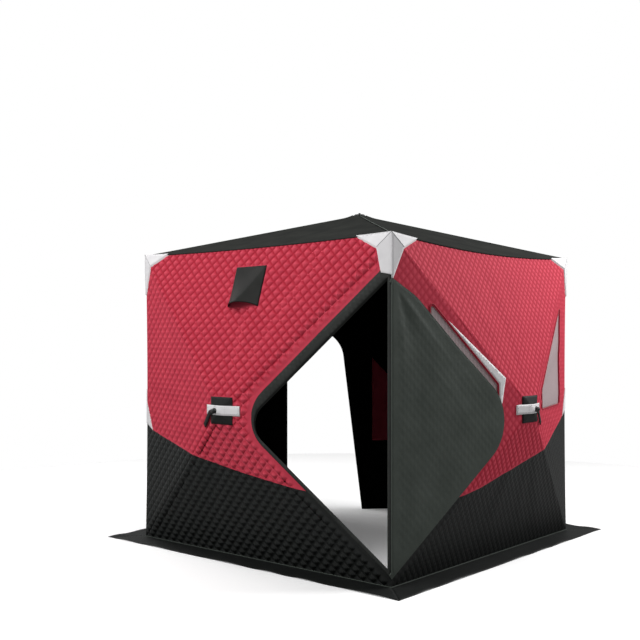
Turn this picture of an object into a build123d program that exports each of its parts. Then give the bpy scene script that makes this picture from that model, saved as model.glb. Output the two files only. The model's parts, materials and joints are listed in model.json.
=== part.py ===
from build123d import *
import os
from math import acos, cos, dist, hypot, sin, sqrt

# Pop-up ice fishing shelter: quilted fabric over hub-and-pole frames, in millimetres.
# +Z is up and the ground is z = 0. The front corner points to +X -Y.
# The front left wall faces -Y, the front right wall faces +X, and the corner that
# would point to -X +Y is cut off by the back door wall.

# Plan and heights
SIDE = 1850.0
CORNER_CUT = 650.0
EAVES = 1705.0
APEX = 1965.0
HUB_HEIGHT = 820.0
FRONT_HUB_OUT = 262.0
BACK_HUB_OUT = 240.0

# Fabric
FABRIC = 8.0
ROOF_AT_APEX = 12.0
LAYER = 2.0
SEAT = 0.3

# Snow skirt
SKIRT_WIDTH = 160.0
SKIRT_THICK = 3.0

# Poles and the boots on their ends
POLE_RADIUS = 5.5
POLE_END = 34.0
BOOT_SIDE = 12.5
BOOT_LENGTH = 36.0

# Hubs: a round body with a square socket for each pole, a hollowed back and a bolt through its boss
HUB_RADIUS = 38.0
HUB_THICK = 30.0
HUB_EDGE = 4.0
HUB_RIM = 6.0
HUB_HOLLOW = 12.0
BOSS_RADIUS = 14.0
BOLT_HEAD = 8.0
BOLT_HEAD_HEIGHT = 5.0
SOCKET_SIDE = 17.0
SOCKET_START = 16.0
SOCKET_END = 88.0

# Cap on the roof, with the tip of its bolt
CAP_RADIUS = 34.0
CAP_SINK = 16.0
CAP_RISE = 6.0
CAP_EDGE = 4.0
TIP_RADIUS = 7.0
TIP_RISE = 16.0
TIP_EDGE = 2.0

# Windows, measured along their wall
WINDOW_DROP = 98.0
WINDOW_SILL = 25.0
WINDOW_ROUND = 14.0
WINDOW_ROUND_SHARE = 0.3
SCREEN_SHARE = 0.2
FRONT_WINDOW_FROM_CORNER = 235.0
FRONT_WINDOW_FROM_HUB = 250.0
BACK_WINDOW_FROM_CORNER = 130.0
BACK_WINDOW_FROM_HUB = 140.0

# Front door, whose edges run beside the ridges of its wall
DOOR_FROM_CORNER = 18.0
DOOR_DROP = 213.0
DOOR_RISE = 94.0
DOOR_TIP_ROUND = 180.0
BORDER_ABOVE = 64.0
BORDER_BELOW = 46.0
BORDER_TIP_ROUND = 240.0
FRONT_OFF_WALL = 1.371

# Rear door, measured from the right-hand post as seen from inside
REAR_FOOT = 345.0
REAR_SHOULDER = 500.0
REAR_TOP = 1280.0
REAR_ROUND = 210.0
REAR_HINGE_MARGIN = 45.0
REAR_BORDER = 38.0
REAR_FLAP_FOOT = 12.0
REAR_OFF_WALL = 3.199

# Door flaps and their hinge seams
FLAP_THICK = 8.0
FLAP_GAP = 8.0
SEAM_WIDTH = 12.0
SEAM_THICK = 2.0
FRONT_SEAM_FOOT = 90.0

# Corner patches, hub patches, straps and pulls
PATCH_ALONG_EAVE = 215.0
PATCH_NOTCH = 74.0
PATCH_DOWN_CORNER = 240.0
HUB_PATCH = 80.0
STRAP_LENGTH = 246.0
STRAP_WIDTH = 50.0
PULL_WIDTH = 24.0
PULL_REACH = 95.0
PULL_FALL = 100.0
PULL_THICK = 4.0

# Vent hood
HOOD_WIDTH = 215.0
HOOD_LENGTH = 225.0
HOOD_DEPTH = 48.0
HOOD_BULGE = 0.68
HOOD_WALL = 3.0
HOOD_BELOW_EAVE = 108.0

HALF = SIDE / 2
THROUGH = 500.0
INNER = 1 - FABRIC / HALF


def layer_scale(layers):
    """Scale about the centre of the ground that lifts a face by so many fabric layers."""
    return 1 + layers * LAYER / HALF


def outward_normal(points):
    """Unit normal of a face, away from the middle of the tent."""
    first, second, third = [Vector(*p) for p in points[:3]]
    normal = (second - first).cross(third - first).normalized()
    return normal if normal.dot(first - Vector(0, 0, HUB_HEIGHT)) > 0 else normal * -1


def slice_between(points, outer, inner):
    """Solid between a flat outline and its smaller copy, both scaled about the ground's centre."""
    with BuildPart() as piece:
        for scale in (outer, inner):
            corners = [Vector(*p) * scale for p in points]
            plane = Plane(
                origin=corners[0],
                x_dir=corners[1] - corners[0],
                z_dir=outward_normal(points),
            )
            with BuildSketch(plane):
                with BuildLine():
                    Polyline(*[plane.to_local_coords(c) for c in corners], close=True)
                make_face()
        loft(ruled=True)
    return piece.part


def save(part, name):
    part.label = name
    export_step(part, f"parts/{name}.step")


class Wall:
    """One wall: its corners, its hub and its upright plane, seen from outside."""

    def __init__(self, name, start, end, hub_out):
        self.name = name
        self.start = Vector(*start, 0)
        self.end = Vector(*end, 0)
        self.along = (self.end - self.start).normalized()
        self.length = (self.end - self.start).length
        self.half = self.length / 2
        self.hub_out = hub_out
        outward = self.along.cross(Vector(0, 0, 1))
        self.plane = Plane(origin=self.start, x_dir=self.along, z_dir=outward)
        self.outward = outward
        self.hub = self.at(self.half, HUB_HEIGHT, hub_out)
        bottom_left = self.at(0, 0)
        bottom_right = self.at(self.length, 0)
        top_right = self.at(self.length, EAVES)
        top_left = self.at(0, EAVES)
        self.corners = [bottom_left, bottom_right, top_right, top_left]
        self.faces = {
            "bottom": (bottom_left, bottom_right, self.hub),
            "right": (bottom_right, top_right, self.hub),
            "top": (top_right, top_left, self.hub),
            "left": (top_left, bottom_left, self.hub),
        }

    def at(self, along, up, out=0.0):
        """Point at a distance along the wall from its left end, up, and out of its plane."""
        return self.start + self.along * along + Vector(0, 0, up) + self.outward * out

    def from_corner(self, side, distance):
        """Distance along the wall of a point measured from its left or right corner."""
        return distance if side == "left" else self.length - distance

    def upper_ridge(self, distance):
        """Height of the ridge from the top corner to the hub, at a distance from the corner."""
        return EAVES - distance * (EAVES - HUB_HEIGHT) / self.half

    def lower_ridge(self, distance):
        """Height of the ridge from the bottom corner to the hub, at a distance from the corner."""
        return distance * HUB_HEIGHT / self.half


FRONT = (HALF, -HALF)
LEFT = (-HALF, -HALF)
RIGHT = (HALF, HALF)
DOOR_LEFT = (-HALF, HALF - CORNER_CUT)
DOOR_RIGHT = (-HALF + CORNER_CUT, HALF)

front_left = Wall("front_left", LEFT, FRONT, FRONT_HUB_OUT)
front_right = Wall("front_right", FRONT, RIGHT, FRONT_HUB_OUT)
back_right = Wall("back_right", RIGHT, DOOR_RIGHT, BACK_HUB_OUT)
back_left = Wall("back_left", DOOR_LEFT, LEFT, BACK_HUB_OUT)
back_door = Wall("back_door", DOOR_RIGHT, DOOR_LEFT, 0.0)
WALLS = [front_left, front_right, back_right, back_left]

os.makedirs("parts", exist_ok=True)


# Outlines


def window_outline(wall, side, clearance):
    """Triangular window beside the upper ridge, with its point cut off square at both ends."""
    back = wall in (back_right, back_left)
    near = BACK_WINDOW_FROM_CORNER if back else FRONT_WINDOW_FROM_CORNER
    far = wall.half - (BACK_WINDOW_FROM_HUB if back else FRONT_WINDOW_FROM_HUB)
    near_edge = near + clearance
    far_edge = far - clearance
    sill = HUB_HEIGHT + WINDOW_SILL + clearance
    drop = WINDOW_DROP + clearance * sqrt(2)
    outline = [
        (near_edge, sill),
        (far_edge, sill),
        (far_edge, wall.upper_ridge(far_edge) - drop),
        (near_edge, wall.upper_ridge(near_edge) - drop),
    ]
    return [(wall.from_corner(side, u), z) for u, z in outline]


def window_round(outline):
    """Radius of a window's corners, less where its shortest edge is short."""
    shortest = min(dist(outline[i - 1], outline[i]) for i in range(len(outline)))
    return min(WINDOW_ROUND, shortest * WINDOW_ROUND_SHARE)


def front_door_outline(from_corner, drop, rise):
    """Half diamond beside the front corner, with edges along the ridges of its wall."""
    wall = front_left
    upper_slope = (EAVES - HUB_HEIGHT) / wall.half
    lower_slope = HUB_HEIGHT / wall.half
    tip = (EAVES - drop - rise) / (upper_slope + lower_slope)
    return [
        (from_corner, wall.lower_ridge(from_corner) + rise),
        (tip, wall.lower_ridge(tip) + rise),
        (from_corner, wall.upper_ridge(from_corner) - drop),
    ]


def rear_door_outline(grow, foot, hinge_side):
    """Arch that leans towards the hinge: foot, slanted free edge, rounded shoulder, level top."""
    lean = (REAR_SHOULDER - REAR_FOOT) / REAR_TOP
    return [
        (REAR_FOOT - grow + lean * foot, foot),
        (hinge_side, foot),
        (hinge_side, REAR_TOP + grow),
        (REAR_SHOULDER - grow, REAR_TOP + grow),
    ]


# Walls

DOOR_OPENING = front_door_outline(DOOR_FROM_CORNER, DOOR_DROP, DOOR_RISE)
DOOR_BORDER = front_door_outline(DOOR_FROM_CORNER, DOOR_DROP - BORDER_ABOVE, DOOR_RISE - BORDER_BELOW)

for wall in WALLS:
    for side, corners in wall.faces.items():
        has_window = wall is not front_left and side in ("left", "right")
        with BuildPart() as panel:
            add(slice_between(corners, 1, INNER))
            if has_window:
                window = window_outline(wall, side, 0)
                with BuildSketch(wall.plane):
                    with BuildLine():
                        Polyline(*window, close=True)
                    make_face()
                    fillet(vertices(), window_round(window))
                extrude(amount=THROUGH, both=True, mode=Mode.SUBTRACT)
            if wall is front_left and side == "right":
                with BuildSketch(wall.plane):
                    with BuildLine():
                        Polyline(*[(wall.length - u, z) for u, z in DOOR_OPENING], close=True)
                    make_face()
                    fillet(vertices().sort_by(Axis.X)[0], DOOR_TIP_ROUND)
                extrude(amount=THROUGH, both=True, mode=Mode.SUBTRACT)
        save(panel.part, f"{wall.name}_wall_{side}_panel")

# Window screens, sewn in at the middle of the fabric
screen_outer = 1 - (1 - SCREEN_SHARE) / 2 * (1 - INNER)
screen_inner = 1 - (1 + SCREEN_SHARE) / 2 * (1 - INNER)
for wall in WALLS[1:]:
    with BuildPart() as screens:
        for side in ("left", "right"):
            window = window_outline(wall, side, SEAT)
            with BuildPart(mode=Mode.PRIVATE) as screen:
                add(slice_between(wall.faces[side], screen_outer, screen_inner))
                with BuildSketch(wall.plane):
                    with BuildLine():
                        Polyline(*window, close=True)
                    make_face()
                    fillet(vertices(), window_round(window))
                extrude(amount=THROUGH, both=True, mode=Mode.INTERSECT)
            add(screen.part)
    save(screens.part, f"{wall.name}_window_screens")

# Back door wall
hinge_edge = back_door.length - REAR_HINGE_MARGIN
door_wall_corners = back_door.corners

with BuildPart() as back_door_wall:
    add(slice_between(door_wall_corners, 1, INNER))
    with BuildSketch(back_door.plane):
        with BuildLine():
            Polyline(*rear_door_outline(0, 0, hinge_edge), close=True)
        make_face()
        fillet(vertices().group_by(Axis.Y)[-1].sort_by(Axis.X)[0], REAR_ROUND)
    extrude(amount=THROUGH, both=True, mode=Mode.SUBTRACT)
save(back_door_wall.part, "back_door_wall")

# Roof, five low faces from the eaves to the apex
apex = Vector(0, 0, APEX)
inner_apex = Vector(0, 0, APEX - ROOF_AT_APEX)


def triangle_plane(points):
    """Plane of a triangle, with its first side along X."""
    first, second = points[0], points[1]
    return Plane(origin=first, x_dir=second - first, z_dir=outward_normal(points))


for wall in WALLS + [back_door]:
    eave = [wall.at(0, EAVES), wall.at(wall.length, EAVES)]
    outer = eave + [apex]
    inner = [eave[0] * INNER, eave[1] * INNER, inner_apex]
    with BuildPart() as roof_panel:
        for points in (outer, inner):
            plane = triangle_plane(points)
            with BuildSketch(plane):
                with BuildLine():
                    Polyline(*[plane.to_local_coords(p) for p in points], close=True)
                make_face()
        loft(ruled=True)
    save(roof_panel.part, f"{wall.name}_roof_panel")


# Frames: a moulded hub and the poles that spread from its sockets to the corners


def pole_axis(hub_point, corner, left, right):
    """Line of a pole in the fold between two inner faces, clear of both at its socket and its boot,
    and the direction square to it that its fittings' sides follow."""
    inside = Vector(0, 0, HUB_HEIGHT)
    normals = []
    for third in (left, right):
        normal = (corner - hub_point).cross(third - hub_point).normalized()
        normals.append(normal if normal.dot(inside - hub_point) > 0 else normal * -1)
    first, second = normals
    inwards = (first + second) / (1 + first.dot(second))
    half_turn = acos(first.dot(second)) / 2
    reach = (cos(half_turn) + sin(half_turn)) / 2
    along = (corner - hub_point).normalized()
    start = hub_point + along * SOCKET_START + inwards * (SOCKET_SIDE * reach + SEAT)
    end = corner - along * POLE_END + inwards * (BOOT_SIDE * reach + SEAT)
    return start, end, inwards.cross(along)


def frame(hub_point, corners, axis, depth):
    """Hub, sockets, poles and boots in one piece; the hub lies depth behind the inner face's point."""
    count = len(corners)
    front = hub_point - axis * depth
    back = front - axis * HUB_THICK
    with BuildPart() as whole:
        with BuildSketch(Plane(origin=front, z_dir=axis * -1)):
            Circle(HUB_RADIUS)
        extrude(amount=HUB_THICK)
        chamfer(edges().filter_by(GeomType.CIRCLE).sort_by_distance(back)[0], HUB_EDGE)
        with BuildSketch(Plane(origin=back, z_dir=axis)):
            Circle(HUB_RADIUS - HUB_RIM)
            Circle(BOSS_RADIUS, mode=Mode.SUBTRACT)
        extrude(amount=HUB_HOLLOW, mode=Mode.SUBTRACT)
        with BuildSketch(Plane(origin=back, z_dir=axis * -1)):
            RegularPolygon(BOLT_HEAD, 6)
        extrude(amount=BOLT_HEAD_HEIGHT)
        for index, corner in enumerate(corners):
            left = corners[index - 1]
            right = corners[(index + 1) % count]
            start, end, aside = pole_axis(hub_point, corner, left, right)
            run = (end - start).normalized()
            length = (end - start).length
            socket_length = SOCKET_END - SOCKET_START
            with BuildSketch(Plane(origin=start, x_dir=aside, z_dir=run)):
                Rectangle(SOCKET_SIDE, SOCKET_SIDE)
            extrude(amount=socket_length)
            with BuildSketch(Plane(origin=start + run * socket_length, z_dir=run)):
                Circle(POLE_RADIUS)
            extrude(amount=length - socket_length - BOOT_LENGTH)
            with BuildSketch(Plane(origin=end - run * BOOT_LENGTH, x_dir=aside, z_dir=run)):
                Rectangle(BOOT_SIDE, BOOT_SIDE)
            extrude(amount=BOOT_LENGTH)
    return whole.part


for wall in WALLS:
    steepest = wall.hub_out / min(wall.half, HUB_HEIGHT, EAVES - HUB_HEIGHT)
    hub_point = wall.hub * INNER
    inner_corners = [corner * INNER for corner in wall.corners]
    wall_frame = frame(hub_point, inner_corners, wall.outward, HUB_RADIUS * steepest + SEAT)
    save(wall_frame, f"{wall.name}_frame")

eave_corners = [Vector(*p, EAVES) * INNER for p in (FRONT, RIGHT, DOOR_RIGHT, DOOR_LEFT, LEFT)]
roof_drop = inner_apex.Z - EAVES * INNER
nearest = (SIDE - CORNER_CUT) / sqrt(2) * INNER
roof_depth = HUB_RADIUS * roof_drop / nearest + SEAT
save(frame(inner_apex, eave_corners, Vector(0, 0, 1), roof_depth), "roof_frame")

# Cap over the roof's point, clamped by the bolt whose tip shows
with BuildPart() as roof_cap:
    with BuildSketch(Plane.XY.offset(APEX - CAP_SINK)):
        Circle(CAP_RADIUS)
    extrude(amount=CAP_SINK + CAP_RISE)
    chamfer(edges().group_by(Axis.Z)[-1], CAP_EDGE)
    with BuildSketch(Plane.XY.offset(APEX + CAP_RISE)):
        Circle(TIP_RADIUS)
    extrude(amount=TIP_RISE - CAP_RISE)
    chamfer(edges().group_by(Axis.Z)[-1], TIP_EDGE)
    for wall in WALLS + [back_door]:
        eave = (wall.at(0, EAVES), wall.at(wall.length, EAVES), apex)
        add(slice_between(eave, 1, 0.9), mode=Mode.SUBTRACT)
save(roof_cap.part.solids().sort_by(Axis.Z)[-1], "roof_cap")


# Snow skirts


def offset_corner(corner, before, after, distance):
    """Point where two walls' ground lines, moved outwards, cross."""
    shift = (before.outward + after.outward) / (1 + before.outward.dot(after.outward))
    return corner + shift * distance


seat = SKIRT_THICK * FRONT_HUB_OUT / HUB_HEIGHT + SEAT
around = [front_left, front_right, back_right, back_door, back_left]
for wall in WALLS:
    place = around.index(wall)
    before = around[place - 1]
    after = around[(place + 1) % len(around)]
    if before is back_door:
        start_near = wall.at(0, 0, seat)
        start_far = wall.at(0, 0, SKIRT_WIDTH)
    else:
        start_near = offset_corner(wall.start, before, wall, seat)
        start_far = offset_corner(wall.start, before, wall, SKIRT_WIDTH)
    if after is back_door:
        end_near = wall.at(wall.length, 0, seat)
        end_far = wall.at(wall.length, 0, SKIRT_WIDTH)
    else:
        end_near = offset_corner(wall.end, wall, after, seat)
        end_far = offset_corner(wall.end, wall, after, SKIRT_WIDTH)
    with BuildPart() as skirt:
        with BuildSketch():
            with BuildLine():
                outline = [start_near, end_near, end_far, start_far]
                Polyline(*[(p.X, p.Y) for p in outline], close=True)
            make_face()
        extrude(amount=SKIRT_THICK)
    save(skirt.part, f"{wall.name}_skirt")

# Front door border, sewn on the wall round the opening
with BuildPart() as front_door_border:
    add(slice_between(front_left.faces["right"], layer_scale(1), 1))
    with BuildSketch(front_left.plane):
        with BuildLine():
            Polyline(*[(front_left.length - u, z) for u, z in DOOR_BORDER], close=True)
        make_face()
        fillet(vertices().sort_by(Axis.X)[0], BORDER_TIP_ROUND)
    extrude(amount=THROUGH, both=True, mode=Mode.INTERSECT)
    with BuildSketch(front_left.plane):
        with BuildLine():
            Polyline(*[(front_left.length - u, z) for u, z in DOOR_OPENING], close=True)
        make_face()
        fillet(vertices().sort_by(Axis.X)[0], DOOR_TIP_ROUND)
    extrude(amount=THROUGH, both=True, mode=Mode.SUBTRACT)
save(front_door_border.part, "front_door_border")

# Rear door border
rear_border_side = back_door.length - REAR_HINGE_MARGIN + SEAM_WIDTH
with BuildPart() as rear_door_border:
    add(slice_between(door_wall_corners, layer_scale(1), 1))
    with BuildSketch(back_door.plane):
        with BuildLine():
            Polyline(*rear_door_outline(REAR_BORDER, 0, rear_border_side), close=True)
        make_face()
        fillet(vertices().group_by(Axis.Y)[-1].sort_by(Axis.X)[0], REAR_ROUND + REAR_BORDER)
    extrude(amount=THROUGH, both=True, mode=Mode.INTERSECT)
    with BuildSketch(back_door.plane):
        with BuildLine():
            Polyline(*rear_door_outline(0, 0, hinge_edge), close=True)
        make_face()
        fillet(vertices().group_by(Axis.Y)[-1].sort_by(Axis.X)[0], REAR_ROUND)
    extrude(amount=THROUGH, both=True, mode=Mode.SUBTRACT)
save(rear_door_border.part, "rear_door_border")


# Doors: a flap, and the seam along the tent's corner that it swings on


class CornerHinge:
    """Upright hinge line just off a corner, at the same distance from the faces beside it."""

    def __init__(self, corner, closed_end, open_end, off_wall):
        self.corner = Vector(*corner, 0)
        self.closed = (Vector(closed_end.X, closed_end.Y, 0) - self.corner).normalized()
        self.open = (Vector(open_end.X, open_end.Y, 0) - self.corner).normalized()
        up = Vector(0, 0, 1)
        self.closed_normal = up.cross(self.closed)
        self.open_normal = up.cross(self.open) * -1
        share = 1 + self.closed_normal.dot(self.open_normal)
        self.bisector = (self.closed_normal + self.open_normal) / share
        self.axis = self.corner + self.bisector * (FLAP_GAP + FLAP_THICK / 2)
        opening = 360 - self.closed.get_angle(self.open) - off_wall
        flap_direction = self.closed.rotate(Axis.Z, opening)
        self.flap_plane = Plane(origin=self.axis, x_dir=flap_direction, z_dir=flap_direction.cross(up))

    def seam_outline(self):
        """Welt that wraps the corner and comes to an edge beside the flap's hinge roll."""
        tip = self.corner + self.bisector * (FLAP_GAP - SEAT)
        closed_foot = self.corner + self.closed * SEAM_WIDTH
        open_foot = self.corner + self.open * SEAM_WIDTH
        outline = [
            self.corner,
            closed_foot,
            closed_foot + self.closed_normal * SEAM_THICK,
            tip,
            open_foot + self.open_normal * SEAM_THICK,
            open_foot,
        ]
        return [(p.X, p.Y) for p in outline]


front_hinge = CornerHinge(FRONT, front_left.hub, front_right.hub, FRONT_OFF_WALL)
rear_hinge = CornerHinge(DOOR_LEFT, Vector(*DOOR_RIGHT, 0), back_left.hub, REAR_OFF_WALL)

# The front flap covers the opening and its border
face_width = hypot(front_left.half, front_left.hub_out)
stretch = face_width / front_left.half
flap_foot, flap_tip, flap_top = front_door_outline(0, DOOR_DROP - BORDER_ABOVE, DOOR_RISE - BORDER_BELOW)
with BuildPart() as front_door_flap:
    with BuildSketch(front_hinge.flap_plane):
        with BuildLine():
            Polyline(flap_foot, (flap_tip[0] * stretch, flap_tip[1]), flap_top, close=True)
        make_face()
        fillet(vertices().sort_by(Axis.X)[-1], BORDER_TIP_ROUND)
    extrude(amount=FLAP_THICK / 2, both=True)
    with BuildSketch(Plane(origin=front_hinge.axis + Vector(0, 0, flap_foot[1]))):
        Circle(FLAP_THICK / 2)
    extrude(amount=flap_top[1] - flap_foot[1])
save(front_door_flap.part, "front_door_flap")

with BuildPart() as front_door_hinge_seam:
    with BuildSketch(Plane.XY.offset(FRONT_SEAM_FOOT)):
        with BuildLine():
            Polyline(*front_hinge.seam_outline(), close=True)
        make_face()
    extrude(amount=EAVES - PATCH_DOWN_CORNER - SEAM_WIDTH - FRONT_SEAM_FOOT)
save(front_door_hinge_seam.part, "front_door_hinge_seam")

# The rear flap covers the arch and its border, down to just above the ground
rear_flap_outline = [
    (back_door.length - u, z)
    for u, z in rear_door_outline(REAR_BORDER, REAR_FLAP_FOOT, back_door.length)
]
with BuildPart() as rear_door_flap:
    with BuildSketch(rear_hinge.flap_plane):
        with BuildLine():
            Polyline(*rear_flap_outline, close=True)
        make_face()
        fillet(vertices().group_by(Axis.Y)[-1].sort_by(Axis.X)[-1], REAR_ROUND + REAR_BORDER)
    extrude(amount=FLAP_THICK / 2, both=True)
    with BuildSketch(Plane(origin=rear_hinge.axis + Vector(0, 0, REAR_FLAP_FOOT))):
        Circle(FLAP_THICK / 2)
    extrude(amount=REAR_TOP + REAR_BORDER - REAR_FLAP_FOOT)
save(rear_door_flap.part, "rear_door_flap")

with BuildPart() as rear_door_hinge_seam:
    with BuildSketch(Plane.XY.offset(SEAM_WIDTH)):
        with BuildLine():
            Polyline(*rear_hinge.seam_outline(), close=True)
        make_face()
    extrude(amount=REAR_TOP + REAR_BORDER - SEAM_WIDTH)
save(rear_door_hinge_seam.part, "rear_door_hinge_seam")


# Patches, straps and pulls


def corner_patch(wall, side):
    """The two triangles of a reinforcing patch on one wall, beside one top corner."""
    above_door = wall is front_left and side == "right"
    down = DOOR_DROP - BORDER_ABOVE if above_door else PATCH_DOWN_CORNER
    corner = wall.at(wall.from_corner(side, 0), EAVES)
    along_eave = wall.at(wall.from_corner(side, PATCH_ALONG_EAVE), EAVES)
    low = wall.at(wall.from_corner(side, 0), EAVES - down)
    notch = corner + (wall.hub - corner) * (PATCH_NOTCH / wall.half)
    return [(corner, notch, along_eave), (corner, low, notch)]


with BuildPart() as corner_patches:
    for wall in WALLS:
        for side in ("left", "right"):
            for triangle in corner_patch(wall, side):
                add(slice_between(triangle, layer_scale(1), 1))
save(corner_patches.part, "corner_patches")


def hub_region(wall, reach):
    """The four triangles of a wall's faces round its hub, out to a distance along the ridges."""
    share = reach / wall.half
    points = [wall.hub + (corner - wall.hub) * share for corner in wall.corners]
    return [(points[i - 1], points[i], wall.hub) for i in range(4)]


with BuildPart() as hub_patches:
    for wall in WALLS:
        for triangle in hub_region(wall, HUB_PATCH):
            add(slice_between(triangle, layer_scale(1), 1))
        for corners in wall.faces.values():
            with BuildPart(mode=Mode.PRIVATE) as strap:
                add(slice_between(corners, layer_scale(2), 1))
                with BuildSketch(wall.plane):
                    with Locations((wall.half, HUB_HEIGHT)):
                        Rectangle(STRAP_LENGTH, STRAP_WIDTH)
                extrude(amount=THROUGH, both=True, mode=Mode.INTERSECT)
            add(strap.part)
save(hub_patches.part, "hub_patches")

PULL_SIDES = {"front_left": "left", "front_right": "right", "back_right": "left", "back_left": "right"}
pull_outer = layer_scale(2 + PULL_THICK / LAYER)
with BuildPart() as hub_pulls:
    for wall in WALLS:
        side = PULL_SIDES[wall.name]
        toward = -1 if side == "left" else 1
        pull_length = hypot(PULL_REACH, PULL_FALL)
        aside = (PULL_FALL / pull_length * PULL_WIDTH / 2, PULL_REACH / pull_length * PULL_WIDTH / 2)
        root = (STRAP_LENGTH / 4, STRAP_WIDTH / 4)
        tip = (STRAP_LENGTH / 4 + PULL_REACH, STRAP_WIDTH / 4 - PULL_FALL)
        outline = [
            (root[0] - aside[0], root[1] - aside[1]),
            (root[0] + aside[0], root[1] + aside[1]),
            (tip[0] + aside[0], tip[1] + aside[1]),
            (tip[0] - aside[0], tip[1] - aside[1]),
        ]
        with BuildPart(mode=Mode.PRIVATE) as pull:
            add(slice_between(wall.faces[side], pull_outer, layer_scale(2)))
            with BuildSketch(wall.plane):
                with BuildLine():
                    Polyline(*[(wall.half + toward * u, HUB_HEIGHT + z) for u, z in outline], close=True)
                make_face()
            extrude(amount=THROUGH, both=True, mode=Mode.INTERSECT)
        add(pull.part)
save(hub_pulls.part, "hub_pulls")

# Vent hood on the top face of the front left wall, open below
slope = (front_left.hub - front_left.at(front_left.half, EAVES)).normalized()
hood_top = front_left.at(front_left.half, EAVES) + slope * HOOD_BELOW_EAVE
lining_top = HOOD_WALL * 4
hood_plane = Plane(origin=hood_top, x_dir=slope, z_dir=front_left.along * -1)
with BuildPart() as vent_hood:
    with BuildSketch(hood_plane):
        with BuildLine():
            Line((0, 0), (HOOD_LENGTH, 0))
            Line((HOOD_LENGTH, 0), (HOOD_LENGTH, HOOD_DEPTH))
            ThreePointArc((HOOD_LENGTH, HOOD_DEPTH), (HOOD_LENGTH / 2, HOOD_DEPTH * HOOD_BULGE), (0, HOOD_WALL))
            Line((0, HOOD_WALL), (0, 0))
        make_face()
    extrude(amount=HOOD_WIDTH / 2, both=True)
    with BuildSketch(hood_plane):
        with BuildLine():
            Line((lining_top, 0), (HOOD_LENGTH, 0))
            Line((HOOD_LENGTH, 0), (HOOD_LENGTH, HOOD_DEPTH - HOOD_WALL))
            ThreePointArc(
                (HOOD_LENGTH, HOOD_DEPTH - HOOD_WALL),
                (HOOD_LENGTH / 2, HOOD_DEPTH * HOOD_BULGE - HOOD_WALL),
                (lining_top, 0),
            )
        make_face()
    extrude(amount=HOOD_WIDTH / 2 - HOOD_WALL, both=True, mode=Mode.SUBTRACT)
save(vent_hood.part, "vent_hood")
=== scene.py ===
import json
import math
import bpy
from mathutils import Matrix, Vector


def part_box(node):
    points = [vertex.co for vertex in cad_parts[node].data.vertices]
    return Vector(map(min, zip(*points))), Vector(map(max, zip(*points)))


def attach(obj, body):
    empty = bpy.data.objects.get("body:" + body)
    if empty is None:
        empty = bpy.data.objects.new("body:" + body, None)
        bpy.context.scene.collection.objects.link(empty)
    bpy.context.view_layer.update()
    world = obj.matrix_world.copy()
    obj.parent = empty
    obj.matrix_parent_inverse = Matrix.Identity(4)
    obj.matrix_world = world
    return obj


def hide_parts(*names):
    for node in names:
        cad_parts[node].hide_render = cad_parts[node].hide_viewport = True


bl_info = {
    "name": "Pop-up Ice Shelter",
    "version": (1, 0, 0),
    "blender": (4, 5, 0),
    "location": "View3D > Sidebar > Shelter",
    "description": "Quilted walls, roof, doors and trim of a pop-up ice fishing shelter",
    "category": "Object",
}

import bpy
import numpy as np
from bpy.props import FloatProperty, FloatVectorProperty, PointerProperty
from bpy.types import Operator, Panel, PropertyGroup
from mathutils import Vector, geometry

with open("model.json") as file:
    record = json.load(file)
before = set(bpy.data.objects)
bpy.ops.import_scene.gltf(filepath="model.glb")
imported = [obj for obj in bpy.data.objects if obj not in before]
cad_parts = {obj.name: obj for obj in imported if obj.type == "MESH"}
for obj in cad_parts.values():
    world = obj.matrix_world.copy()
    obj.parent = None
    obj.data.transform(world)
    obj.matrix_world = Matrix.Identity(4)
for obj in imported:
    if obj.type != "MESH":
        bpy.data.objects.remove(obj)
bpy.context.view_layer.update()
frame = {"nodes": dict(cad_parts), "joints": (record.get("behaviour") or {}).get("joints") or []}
SHELTER = "shelter"
MM = 0.001


# Sizes read from the frame, in metres


def corners_of(node):
    """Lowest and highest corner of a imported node."""
    low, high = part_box(node)
    return np.array(low, float), np.array(high, float)


ground_low, ground_high = corners_of("front_left_wall_bottom_panel")
HALF = ground_high[0]
HUB_HEIGHT = ground_high[2]
FRONT_HUB_OUT = -HALF - ground_low[1]
BACK_HUB_OUT = corners_of("back_right_wall_bottom_panel")[1][1] - HALF
EAVES = corners_of("front_left_wall_top_panel")[1][2]
APEX = corners_of("front_left_roof_panel")[1][2]
CORNER_CUT = HALF - corners_of("back_door_wall")[0][1]

# Fabric and its layers
FABRIC = 8 * MM
LAYER = 2 * MM
LINING = 1.5 * MM
SEAM_STEP = 14 * MM
LINING_STEP = 70 * MM
CLEAR = 2.5 * MM

# Door openings, measured from the ridges above and below them
DOOR_FROM_CORNER = 18 * MM
DOOR_DROP = 198 * MM
DOOR_RISE = 74 * MM
DOOR_TIP_ROUND = 120 * MM
BORDER_ABOVE = 66 * MM
BORDER_BELOW = 26 * MM
BORDER_TIP_ROUND = 190 * MM
FLAP_DROP = 149 * MM
FLAP_RISE = 48 * MM
FLAP_TIP_ROUND = 240 * MM
REAR_FOOT = 345 * MM
REAR_SHOULDER = 500 * MM
REAR_TOP = 1280 * MM
REAR_ROUND = 210 * MM
REAR_HINGE_MARGIN = 45 * MM
REAR_BORDER = 38 * MM
SEAM_WIDTH = 12 * MM
HEM = 4 * MM

# Windows
WINDOW_ROUND = 14 * MM
FRONT_WINDOW = (235 * MM, 250 * MM, 98 * MM, 25 * MM)
WIDE_WINDOW = (213 * MM, 212 * MM, 106 * MM, -12 * MM)
BACK_WINDOW = (130 * MM, 140 * MM, 98 * MM, 25 * MM)
COVER_LAP = 8 * MM


def unit(vector):
    """Vector of length one."""
    return vector / np.linalg.norm(vector)


# Outlines on flat cloth


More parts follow.
